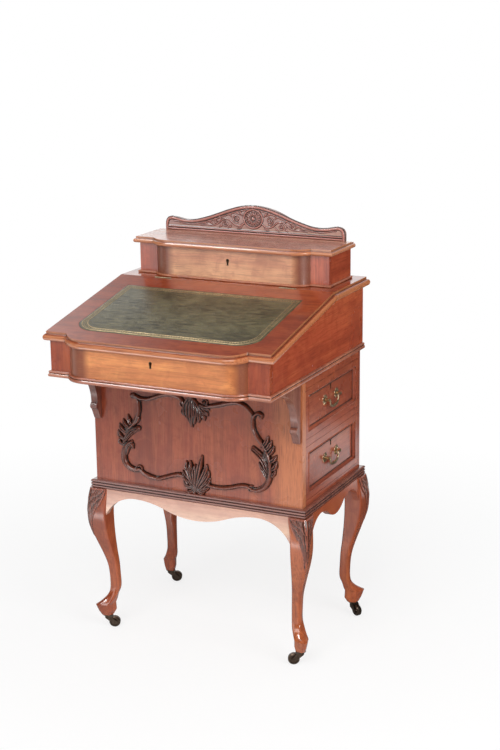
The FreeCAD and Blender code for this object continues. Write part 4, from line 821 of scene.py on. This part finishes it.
class DESK_OT_gallery(bpy.types.Operator):
    """Carve the border, the reeds, the rosette and the foliage of the gallery"""
    bl_idname = "desk.gallery"
    bl_label = "Gallery carving"

    # How much wider than high the rosette is.
    OVAL = 1.1
    # The left half of the crest, in millimetres from the middle and above the ground of the carving.
    CREST = [(-231.5, 2), (-231.5, 14), (-228, 24), (-219, 28), (-208, 27), (-195, 24.2), (-180, 22.6),
             (-164, 22.8), (-146, 25.6), (-118, 33.4), (-90, 43.2), (-60, 54.0), (-30, 62.4), (0, 65.6)]
    # The right half's stem, its tendrils (middle, radius, start, turn) and the spines of its leaves.
    STEM = [(24, 26), (36, 19), (50, 22), (63, 32), (78, 33), (91, 24), (104, 17), (122, 17), (140, 14.5)]
    TENDRILS = [(44, 36, 9.5, -1.9, 1), (73, 22, 7.0, 1.5, -1), (99, 29, 6.4, -1.8, 1)]
    SPINES = [[(29, 44), (33, 50), (36, 56)], [(34, 46), (41, 50), (48, 52)],
              [(57, 40), (62, 45), (68, 46)], [(84, 33), (89, 38), (96, 40)],
              [(108, 20), (115, 26), (124, 27)],
              [(58, 20), (61, 16), (67, 13)], [(29, 19), (34, 15), (41, 13)],
              [(122, 18), (129, 21), (136, 20)], [(87, 22), (85, 17), (90, 13)]]

    def execute(self, context):
        low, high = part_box("gallery")
        tall = carving().gallery
        # The skirt gives the gallery's members dark outlines of painted shade.
        relief = Relief((-0.236, -0.001), (0.236, 0.070), step=0.0006, sink=0.0006, skirt=0.0011)
        crest = self.CREST + [(-u, v) for u, v in reversed(self.CREST[:-1])]
        relief.stroke(mm(crest), (0.0034, 0.0034), (tall * 2.0, tall * 2.0), count=150)
        inner = [(u * 0.968, v - 6.4) for u, v in crest[3:-3]]
        relief.stroke(mm(inner), (0.0012, 0.0012), (tall, tall), count=120)
        for level, half in ((2.8, 2.6), (8.2, 2.0)):
            relief.stroke(mm([(-228, level), (0, level), (228, level)]), (half / 1000,) * 2,
                          (tall * 1.8, tall * 1.8), count=4)
        self.rosette(relief, 0, 38, tall)
        for way in (-1, 1):
            self.foliage(relief, way, tall)
        ground = high.z - 0.069
        wood = carved_timber("Gallery carving", shade(finishes().gallery, 0.62), 0.34)
        relief.piece(lambda u, v, out: (u, low.y - out, ground + v), "gallery_carving", wood,
                     "upper_lid_part", "mahogany")
        return {"FINISHED"}

    def rosette(self, relief, u, v, tall):
        """Petals round a boss inside a double ring."""
        for reach, half in ((22.0, 2.2), (17.6, 0.9)):
            ring = [polar(u, v, reach, step * math.pi / 12, self.OVAL) for step in range(25)]
            relief.stroke(mm(ring), (half / 1000,) * 2, (tall * 1.6,) * 2, count=72)
        for petal in range(16):
            angle = petal * math.pi / 8
            spokes = [polar(u, v, reach, angle, self.OVAL) for reach in (4.5, 10, 15.4)]
            relief.stroke(mm(spokes), (0.0009, 0.0021, 0.0026, 0.0016),
                          (tall * 0.7, tall * 1.3, tall * 0.8), LEAF, count=8)
        relief.dome(u / 1000, v / 1000, 0.0046, 0.0046, tall * 1.9)

    def foliage(self, relief, way, tall):
        """A running stem with curling tendrils and leaves."""
        relief.stroke(mm(self.STEM, way), (0.0020, 0.0017, 0.0014, 0.0007), (tall,) * 3, count=60)
        for u, v, radius, start, turn in self.TENDRILS:
            start = start if way > 0 else math.pi - start
            relief.volute(way * u / 1000, v / 1000, radius / 1000, 1.5, start, turn * way, 0.0014,
                          tall * 1.1)
        for spine in self.SPINES:
            relief.stroke(mm(spine, way), (0.0008, 0.0026, 0.0006), (tall * 0.7, tall * 1.2, tall * 0.5),
                          LEAF, count=10)


# The sloping lid's own axes, from its hinge line: how far it falls over how long a run.
HINGE = next(joint for joint in frame["joints"] if joint["name"] == "writing_lid_hinge")
FALL, RUN = 0.0685, 0.338
LID = Matrix.Translation(HINGE["pos_m"]) @ Matrix.Rotation(math.atan2(FALL, RUN), 4, "X")
# The hide on the lid: half-width, back edge, front edge, and where and how deep its corners turn.
HIDE_HALF, HIDE_REAR, HIDE_FORE = 0.223, -0.057, -0.31487
CORNER_START, CORNER_DROP = 0.171, 0.038


def leather_outline(inset, steps=10):
    """The writing surface's outline on the lid, moved inwards by a margin."""
    half, rear, fore = HIDE_HALF - inset, HIDE_REAR - inset, HIDE_FORE + inset
    flat, drop = CORNER_START - inset * 0.45, CORNER_DROP - inset * 0.10
    reach = half - flat
    radius = (reach * reach + drop * drop) / (2 * drop)
    bend = math.asin(min(1.0, reach / radius))
    turns = [bend * step / steps for step in range(steps + 1)]
    right = [(flat + radius * math.sin(turn), fore + radius * (1 - math.cos(turn))) for turn in turns]
    left = [(-u, v) for u, v in reversed(right)]
    return left + right + [(half, rear), (-half, rear)]


def spread(outline, gap):
    """Points evenly along a closed outline."""
    points = [Vector(spot) for spot in outline]
    line = []
    for start, end in zip(points, points[1:] + points[:1]):
        count = max(1, round((end - start).length / gap))
        line += [start.lerp(end, number / count) for number in range(count)]
    return line


class DESK_OT_leather(bpy.types.Operator):
    """Lay the hide on the writing slope and tool its gold border"""
    bl_idname = "desk.leather"
    bl_label = "Leather"

    # Levels over the lid of a gold line's foot and face and of the stamps, and the stamps' inset.
    LINE_FOOT, LINE_FACE, STAMP_LEVEL = 0.0002, 0.00052, 0.00045
    STAMP_INSET = 0.0126

    def execute(self, context):
        mesh = bmesh.new()
        rings = []
        # Rings from the hide's underside to its face: inset and level.
        for inset, level in ((0.0002, -0.0011), (0.0002, -0.0003), (0.0010, 0.0002), (0.0030, 0.0004)):
            line = spread(leather_outline(inset), 0.012)
            if rings:
                line = self.matched(line, len(rings[0]))
            rings.append([mesh.verts.new(LID @ Vector((spot.x, spot.y, level))) for spot in line])
        for first, second in zip(rings, rings[1:]):
            weave(mesh, first, second)
        mesh.faces.new(list(reversed(rings[0])))
        mesh.faces.new(rings[-1])
        bmesh.ops.triangulate(mesh, faces=[face for face in mesh.faces if len(face.verts) > 4])
        leather = hide("Olive hide", finishes().leather)
        skin = settle(mesh, "leather_hide", leather, "writing_lid_part", "green_leather", "leather_panel")
        gold = metal("Worn gilding", finishes().gilding, 0.42, 0.45)
        lines = bmesh.new()
        width = carving().line
        # Gold lines: inset and half-width.
        for inset, half in ((0.0058, width * 0.6), (0.0092, width * 0.3), (0.0160, width * 0.6)):
            self.ribbon(lines, inset, half)
        border = settle(lines, "gold_lines", gold, "writing_lid_part", "aged_brass")
        stamps = self.tooling(gold)
        return {"FINISHED"}

    def matched(self, line, count):
        """A closed line cut into a number of equal steps."""
        total = sum((b - a).length for a, b in zip(line, line[1:] + line[:1]))
        spots, gone, index = [], 0.0, 0
        ends = line + line[:1]
        for number in range(count):
            goal = total * number / count
            while gone + (ends[index + 1] - ends[index]).length < goal:
                gone += (ends[index + 1] - ends[index]).length
                index += 1
            run = (ends[index + 1] - ends[index]).length
            spots.append(ends[index].lerp(ends[index + 1], (goal - gone) / run))
        return spots

    def ribbon(self, mesh, inset, half):
        """A thin raised gold line round the border."""
        outer, inner = leather_outline(inset - half), leather_outline(inset + half)
        rings = []
        for outline, level in ((outer, self.LINE_FOOT), (outer, self.LINE_FACE),
                               (inner, self.LINE_FACE), (inner, self.LINE_FOOT)):
            rings.append([mesh.verts.new(LID @ Vector((*spot, level))) for spot in outline])
        for first, second in zip(rings, rings[1:] + rings[:1]):
            weave(mesh, first, second)

    def tooling(self, gold):
        """Small lozenges stamped between the two inner lines."""
        path = bpy.data.meshes.new("tooling_path")
        line = [LID @ Vector((*spot, self.STAMP_LEVEL)) for spot in leather_outline(self.STAMP_INSET)]
        path.from_pydata(line, [(index, (index + 1) % len(line)) for index in range(len(line))], [])
        carrier = new_object("tooling_path", path)
        tree, sockets = stamp_tree(gold, LID.to_3x3() @ Vector((0, 0, 1)))
        modifier = carrier.modifiers.new("Stamps", "NODES")
        modifier.node_group = tree
        modifier[sockets["Spacing"]] = 0.0062
        modifier[sockets["Size"]] = 0.0019
        graph = bpy.context.evaluated_depsgraph_get()
        data = bpy.data.meshes.new_from_object(carrier.evaluated_get(graph))
        bpy.data.objects.remove(carrier)
        data.name = "gold_tooling"
        return mount(data, "gold_tooling", "writing_lid_part", "aged_brass")


def stamp_tree(material, normal):
    """Nodes that set a row of stamped lozenges along a closed path."""
    tree = bpy.data.node_groups.new("Stamped border", "GeometryNodeTree")
    sockets = {}
    tree.interface.new_socket("Path", in_out="INPUT", socket_type="NodeSocketGeometry")
    for name, default in (("Spacing", 0.006), ("Size", 0.002)):
        socket = tree.interface.new_socket(name, in_out="INPUT", socket_type="NodeSocketFloat")
        socket.default_value = default
        sockets[name] = socket.identifier
    tree.interface.new_socket("Border", in_out="OUTPUT", socket_type="NodeSocketGeometry")

    kit = Nodes(tree, "")
    given = kit.add("NodeGroupInput").outputs
    curve = kit.add("GeometryNodeMeshToCurve", {"Mesh": given["Path"]}).outputs["Curve"]
    dots = kit.add("GeometryNodeResampleCurve", {"Curve": curve, "Length": given["Spacing"]}, mode="LENGTH")
    stamp = kit.add("GeometryNodeMeshCone", {"Vertices": 4, "Radius Top": 0.0004,
                                             "Radius Bottom": given["Size"], "Depth": 0.0003})
    face = kit.add("FunctionNodeAlignRotationToVector", {"Vector": tuple(normal)}, axis="Z")
    tangent = kit.add("GeometryNodeInputTangent").outputs["Tangent"]
    turn = kit.add("FunctionNodeAlignRotationToVector",
                   {"Rotation": face.outputs["Rotation"], "Vector": tangent}, axis="X", pivot_axis="Z")
    row = kit.add("GeometryNodeInstanceOnPoints", {"Points": dots.outputs["Curve"],
                                                   "Instance": stamp.outputs["Mesh"],
                                                   "Rotation": turn.outputs["Rotation"]})
    solid = kit.add("GeometryNodeRealizeInstances", {"Geometry": row.outputs["Instances"]})
    gilt = kit.add("GeometryNodeSetMaterial", {"Geometry": solid.outputs["Geometry"], "Material": material})
    kit.add("NodeGroupOutput", {"Border": gilt.outputs["Geometry"]})
    return tree, sockets


# Heights of the handles' pivots, the middle of the case along the desk, and the plane of the
# drawers' sunk fields, with the pivots' stand from it and the posts' places beside the middle.
HANDLES = {"upper": 0.59525, "lower": 0.45775}
CASE_MIDDLE = 0.09437
FIELD = 0.2595
PIVOT_STAND = 0.009
POST_REACH = 0.033


class DESK_OT_handles(bpy.types.Operator):
    """Cast the handles: a ringed loop, and petals on the rosettes"""
    bl_idname = "desk.handles"
    bl_label = "Handles"

    # Half of the loop from its pivot, in millimetres, and the steps along the whole.
    LOOP = [(35, 0), (32, 0), (28.4, 0), (25.6, -1.0), (23.8, -3.4), (23.4, -7), (22.4, -12),
            (18.6, -16.8), (12.6, -19.4), (6, -20), (0, -20)]
    STEPS = 96
    # Rings on the loop: place along it, height and width.
    RINGS = [(0.5, 0.0016, 0.030), (0.435, 0.0009, 0.014), (0.565, 0.0009, 0.014),
             (0.235, 0.0010, 0.014), (0.765, 0.0010, 0.014)]

    def execute(self, context):
        brass = metal("Bright brass", finishes().brass, 0.24)
        loop = self.LOOP + [(-y, z) for y, z in reversed(self.LOOP[:-1])]
        line = smooth_line([Vector(spot) / 1000 for spot in loop], self.STEPS)
        girths = [self.girth(number / self.STEPS) for number in range(self.STEPS + 1)]
        for level, height in HANDLES.items():
            for side, sign in (("right", 1), ("left", -1)):
                stand = sign * (FIELD + PIVOT_STAND)
                path = [Vector((stand, CASE_MIDDLE + spot.x, height + spot.y)) for spot in line]
                mesh = bmesh.new()
                tube(mesh, path, girths, sides=14)
                body = f"{level}_bail" if sign > 0 else f"{level}_left_bail"
                stands_for = f"{level}_handle_bail" if sign > 0 else f"{level}_sham_bail"
                settle(mesh, f"{level}_{side}_loop", brass, body, "aged_brass", stands_for)
                self.petals(brass, level, side, sign, height)
        return {"FINISHED"}

    def girth(self, share):
        """Radius along the loop: slim at the pivots, swelling to a ringed middle."""
        middle = 1 - abs(share - 0.5) * 2
        radius = 0.0022 + 0.0008 * max(0.0, middle - 0.25)
        for place, extra, width in self.RINGS:
            radius += extra * math.exp(-((share - place) / width) ** 2)
        return radius

    def petals(self, brass, level, side, sign, height):
        """Eight petals on each of a handle's two rosettes."""
        relief = Relief((-0.047, -0.014), (0.047, 0.014), step=0.0005, sink=0.0004)
        for middle in (-POST_REACH, POST_REACH):
            for petal in range(8):
                angle = petal * math.pi / 4 + math.pi / 8
                spokes = [polar(middle, 0.0, reach, angle) for reach in (0.0044, 0.007, 0.0100)]
                relief.stroke(spokes, (0.0010, 0.0026, 0.0024), (0.0034, 0.0036, 0.0016), LEAF, count=8)
        body = f"{level}_drawer" if sign > 0 else FRAME
        relief.piece(lambda u, v, out: (sign * (FIELD + out), CASE_MIDDLE + sign * u, height + v),
                     f"{level}_{side}_rosettes", brass, body, "aged_brass")


class DESK_OT_beads(bpy.types.Operator):
    """Run a bead and a dark line of painted shadow round each drawer's sunk field, and line the keyholes"""
    bl_idname = "desk.beads"
    bl_label = "Beads and keyholes"

    # Radii of the beads and of the keyholes' brass threads.
    BEAD, THREAD = 0.0013, 0.0006

    def execute(self, context):
        wood = timber("Bead mahogany", finishes().mahogany, "Y", 0.18, 0.8)
        # A thin dark line round each sunk field, a painted shadow along the field's edge.
        dark = timber("Painted field shadow", shade(finishes().carving, 0.5), "Y", 0.3, 0.2)
        # The sham fronts' gain in size, the width of the border and of its slope, and the field's depth.
        gap, border, slope, recess = 0.0008, 0.016, 0.007, 0.0055
        for level in ("upper", "lower"):
            low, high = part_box(f"{level}_drawer_front")
            inner = self.grown((low.y, high.y, low.z, high.z), -border)
            wider = self.grown(inner, gap)
            drawer = f"{level}_drawer"
            self.frame(f"{level}_drawer_bead", wood, high.x, inner, drawer)
            self.frame(f"{level}_sham_bead", wood, -high.x, wider, FRAME)
            # The dark lines are painted shadow at the foot of each field's slope.
            self.frame(f"{level}_drawer_shadow_line", dark, high.x - recess, self.grown(inner, -slope), drawer)
            self.frame(f"{level}_sham_shadow_line", dark, recess - high.x, self.grown(wider, -slope), FRAME)
        thread = metal("Keyhole brass", shade(finishes().brass, 0.16), 0.34)
        for level in ("upper", "lower"):
            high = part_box(f"{level}_drawer_front")[1]
            eye = Vector((high.x - recess, CASE_MIDDLE, high.z - 0.025))
            self.keyhole(f"{level}_drawer_keyhole", thread, eye, Vector((0, 1, 0)), f"{level}_drawer")
        for name, front, height in (("lid_keyhole", "box_front", 0.7315),
                                    ("stationery_keyhole", "upper_front", 0.889)):
            eye = Vector((0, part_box(front)[0].y, height))
            self.keyhole(name, thread, eye, Vector((1, 0, 0)), FRAME)
        return {"FINISHED"}

    def grown(self, edges, margin):
        """A rectangle widened all round by a margin."""
        near, far, foot, head = edges
        return near - margin, far + margin, foot - margin, head + margin

    def frame(self, name, wood, x, edges, body):
        """A half-round bead on a rectangle, sunk to its middle in the front; also the dark field line of
        painted shadow.
        """
        near, far, foot, head = edges
        corners = [Vector((x, y, z)) for y, z in ((near, foot), (far, foot), (far, head), (near, head))]
        mesh = bmesh.new()
        path = []
        for start, end in zip(corners, corners[1:] + corners[:1]):
            path += [start.lerp(end, share) for share in (0.0, 0.004, 0.25, 0.5, 0.75, 0.996)]
        tube(mesh, path, [self.BEAD] * len(path), sides=10, closed=True)
        settle(mesh, name, wood, body, "mahogany")

    def keyhole(self, name, thread, eye, across, body):
        """A thin line of brass round a keyhole."""
        radius, half, foot, steps = 0.0034, 0.0018, -0.0112, 14
        start = math.asin(-half / radius)
        outline = []
        for number in range(steps + 1):
            angle = start + (math.pi - 2 * start) * number / steps
            outline.append(polar(0.0, 0.0, radius, angle))
        outline += [(-half, foot * 0.5), (-half, foot), (0, foot - 0.0006)]
        outline += [(half, foot), (half, foot * 0.5)]
        mesh = bmesh.new()
        path = [eye + across * u + Vector((0, 0, v)) for u, v in outline]
        tube(mesh, path, [self.THREAD] * len(path), sides=8, closed=True)
        settle(mesh, name, thread, body, "aged_brass")


# Bright patches of the floor as the polish shows it: strength, then the left, right, front and back
# edges, and how soft these are.
POOLS = ((3.5, -0.80, -0.10, FACE - 0.84, FACE - 0.60), (0.9, 0.55, 1.3, 1.15, 1.70))
SOFT_EDGE = 0.08


class DESK_OT_stage(bpy.types.Operator):
    """Set the floor, the light and the camera"""
    bl_idname = "desk.stage"
    bl_label = "Stage"

    def execute(self, context):
        scene = context.scene
        scene.view_settings.view_transform = "Standard"
        self.camera(scene)
        self.floor(scene)
        self.world(scene)
        stage = scene.desk_stage
        # Name, power, size, place and the height aimed at, then if it lights and if the polish shows it.
        for name, watts, size, spot, height, lights, shines in (
                ("Key light", stage.key, (2.6, 2.6), (0.2, -3.4, 3.5), 0.55, True, True),
                ("Fill light", stage.fill, (2.2, 2.2), (3.4, -1.2, 2.0), 0.55, True, False),
                ("High window", stage.window, (0.8, 0.8), (-1.5, -1.7, 3.0), 0.55, False, True),
                ("Side window", 1.2 * stage.window, (1.0, 1.0), (3.0, -2.0, 1.2), 0.55, False, True),
                ("Front screen", 0.5 * stage.window, (1.9, 1.6), (-1.40, -2.75, 0.97), 0.97, False, True)):
            lamp = bpy.data.lights.new(name, "AREA")
            lamp.shape = "RECTANGLE"
            lamp.energy = watts
            lamp.size, lamp.size_y = size
            holder = new_object(name, lamp)
            holder.location = spot
            aim = Vector((0, 0, height)) - Vector(spot)
            holder.rotation_euler = aim.to_track_quat("-Z", "Y").to_euler()
            holder.visible_diffuse = lights
            holder.visible_glossy = shines
            holder.visible_camera = False
        return {"FINISHED"}

    def camera(self, scene):
        """The photograph's place, aim and frame."""
        turn, dip, lean = (math.radians(angle) for angle in (25.525, 14.851, -0.543))
        ahead = Vector((-math.sin(turn) * math.cos(dip), math.cos(turn) * math.cos(dip), -math.sin(dip)))
        right = Vector((math.cos(turn), math.sin(turn), 0))
        up = right.cross(ahead)
        across = right * math.cos(lean) + up * math.sin(lean)
        rise = up * math.cos(lean) - right * math.sin(lean)
        lens = bpy.data.cameras.new("Camera")
        lens.sensor_width, lens.lens = 36.0, 74.64
        lens.shift_x, lens.shift_y = -0.0165, 0.0013
        holder = new_object("Camera", lens)
        stand = Matrix.Translation((1.5904, -2.9764 + FACE, 1.5489))
        holder.matrix_world = stand @ Matrix((across, rise, -ahead)).transposed().to_4x4()
        scene.camera = holder

    def floor(self, scene):
        """A wide pale floor that looks white from above and keeps the desk's shadow."""
        mesh = bmesh.new()
        bmesh.ops.create_grid(mesh, x_segments=4, y_segments=4, size=14.0)
        data = bpy.data.meshes.new("Floor")
        mesh.to_mesh(data)
        mesh.free()
        kit = Shading("Floor")
        tone = scene.desk_stage.floor
        path = kit.add("LightPath").outputs
        place = kit.add("TexCoord").outputs["Object"]
        away = kit.add("VectorMath", {0: place}, operation="LENGTH").outputs["Value"]
        across, depth = kit.split(place)[:2]
        plain = kit.add("BsdfDiffuse", {"Color": (*tone, 1.0)}).outputs["BSDF"]
        bright = kit.range(away, 0.76, 1.0, 0.5, 1.8)
        glow = kit.add("Emission", {"Color": (1, 1, 1, 1), "Strength": bright})
        left = kit.ramp(kit.range(away, 0.0, 1.0, 0.5, 1.9), (0.0, shade(tone, 0.27)), (1.0, (0, 0, 0)))
        faint = kit.add("BsdfDiffuse", {"Color": left}).outputs["BSDF"]
        white = kit.add("AddShader", {0: glow.outputs["Emission"], 1: faint}).outputs["Shader"]
        fore, rear = kit.range(depth, 0.35, 1.1, -2.2, -1.2), kit.range(depth, 1.1, 0.10, -0.5, 0.4)
        shine = kit.math("MULTIPLY", kit.math("MINIMUM", fore, rear), kit.range(across, 1.0, 0.3, 0.1, 0.9))
        for pool, west, east, south, north in POOLS:
            for value, low, high in ((across, west, east), (depth, south, north)):
                for edge, soft in ((low, SOFT_EDGE), (high, -SOFT_EDGE)):
                    side = kit.range(value, 0.0, 1.0, edge - soft, edge + soft)
                    pool = kit.math("MULTIPLY", pool, side)
            shine = kit.math("ADD", shine, pool)
        sheen = kit.add("Emission", {"Color": (1, 1, 1, 1), "Strength": shine})
        skin = kit.add("MixShader", {0: path["Is Camera Ray"], 1: plain, 2: white}).outputs["Shader"]
        skin = kit.add("MixShader", {0: path["Is Glossy Ray"], 1: skin, 2: sheen.outputs["Emission"]})
        kit.feed(kit.tree.nodes["Material Output"].inputs["Surface"], skin.outputs["Shader"])
        kit.tree.nodes.remove(kit.surface)
        data.materials.append(kit.material)
        new_object("Floor", data)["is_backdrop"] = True

    def world(self, scene):
        """White to the camera, an even light on the desk, and a pale backdrop in its polish."""
        world = bpy.data.worlds.new("Studio")
        scene.world = world
        world.use_nodes = True
        kit = Nodes(world.node_tree)

        def ease(value, start, end, low, high):
            return kit.range(value, low, high, start, end, "SMOOTHSTEP")

        path = kit.add("LightPath").outputs
        x, y, z = kit.split(kit.add("TexCoord").outputs["Generated"])
        low = ease(z, 0.28, 0.55, 1.0, 0.0)
        left = ease(x, -0.1, 0.35, 1.0, 0.0)
        behind = ease(y, 0.3, 0.65, 0.0, 1.0)
        backdrop = kit.math("MULTIPLY", kit.math("MULTIPLY", low, left), behind)
        sweep = kit.math("MULTIPLY", ease(z, 0.60, 0.78, 1.0, 0.0), ease(x, -0.58, -0.44, 1.0, 0.0))
        backdrop = kit.math("MAXIMUM", backdrop, kit.math("MULTIPLY", sweep, behind))
        polish = ease(backdrop, 0.0, 1.0, 0.12, 1.3)
        level = kit.add("Mix", {0: path["Is Glossy Ray"], 2: 0.45, 3: polish}).outputs[0]
        level = kit.add("Mix", {0: path["Is Camera Ray"], 2: level, 3: 1.0}).outputs[0]
        backing = kit.tree.nodes["Background"].inputs
        kit.feed(backing["Strength"], level)
        kit.feed(backing["Color"], (1.0, 1.0, 1.0, 1.0))


class DESK_PT_tools(bpy.types.Panel):
    """The desk's pieces, in the order they are made"""
    bl_label = "Desk"
    bl_idname = "DESK_PT_tools"
    bl_space_type = "VIEW_3D"
    bl_region_type = "UI"
    bl_category = "Desk"

    def draw(self, context):
        for operator in OPERATORS:
            self.layout.operator(operator.bl_idname)


OPERATORS = (DESK_OT_timber, DESK_OT_metalwork, DESK_OT_cartouche, DESK_OT_knees, DESK_OT_gallery,
             DESK_OT_leather, DESK_OT_handles, DESK_OT_beads, DESK_OT_stage)
GROUPS = {"desk_finish": DeskFinish, "desk_carving": DeskCarving, "desk_stage": DeskStage}


def register():
    for group in (*GROUPS.values(), *OPERATORS, DESK_PT_tools):
        bpy.utils.register_class(group)
    for name, group in GROUPS.items():
        setattr(bpy.types.Scene, name, bpy.props.PointerProperty(type=group))


def unregister():
    for name in GROUPS:
        delattr(bpy.types.Scene, name)
    for group in (DESK_PT_tools, *reversed(OPERATORS), *GROUPS.values()):
        bpy.utils.unregister_class(group)


def main():
    register()
    for operator in OPERATORS:
        area, name = operator.bl_idname.split(".")
        getattr(getattr(bpy.ops, area), name)()
    boxes = {"cad": CAD_BOX, "visual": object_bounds()}
    boxes = {name: [list(corner) for corner in box] for name, box in boxes.items()}


if __name__ == "__main__":
    main()
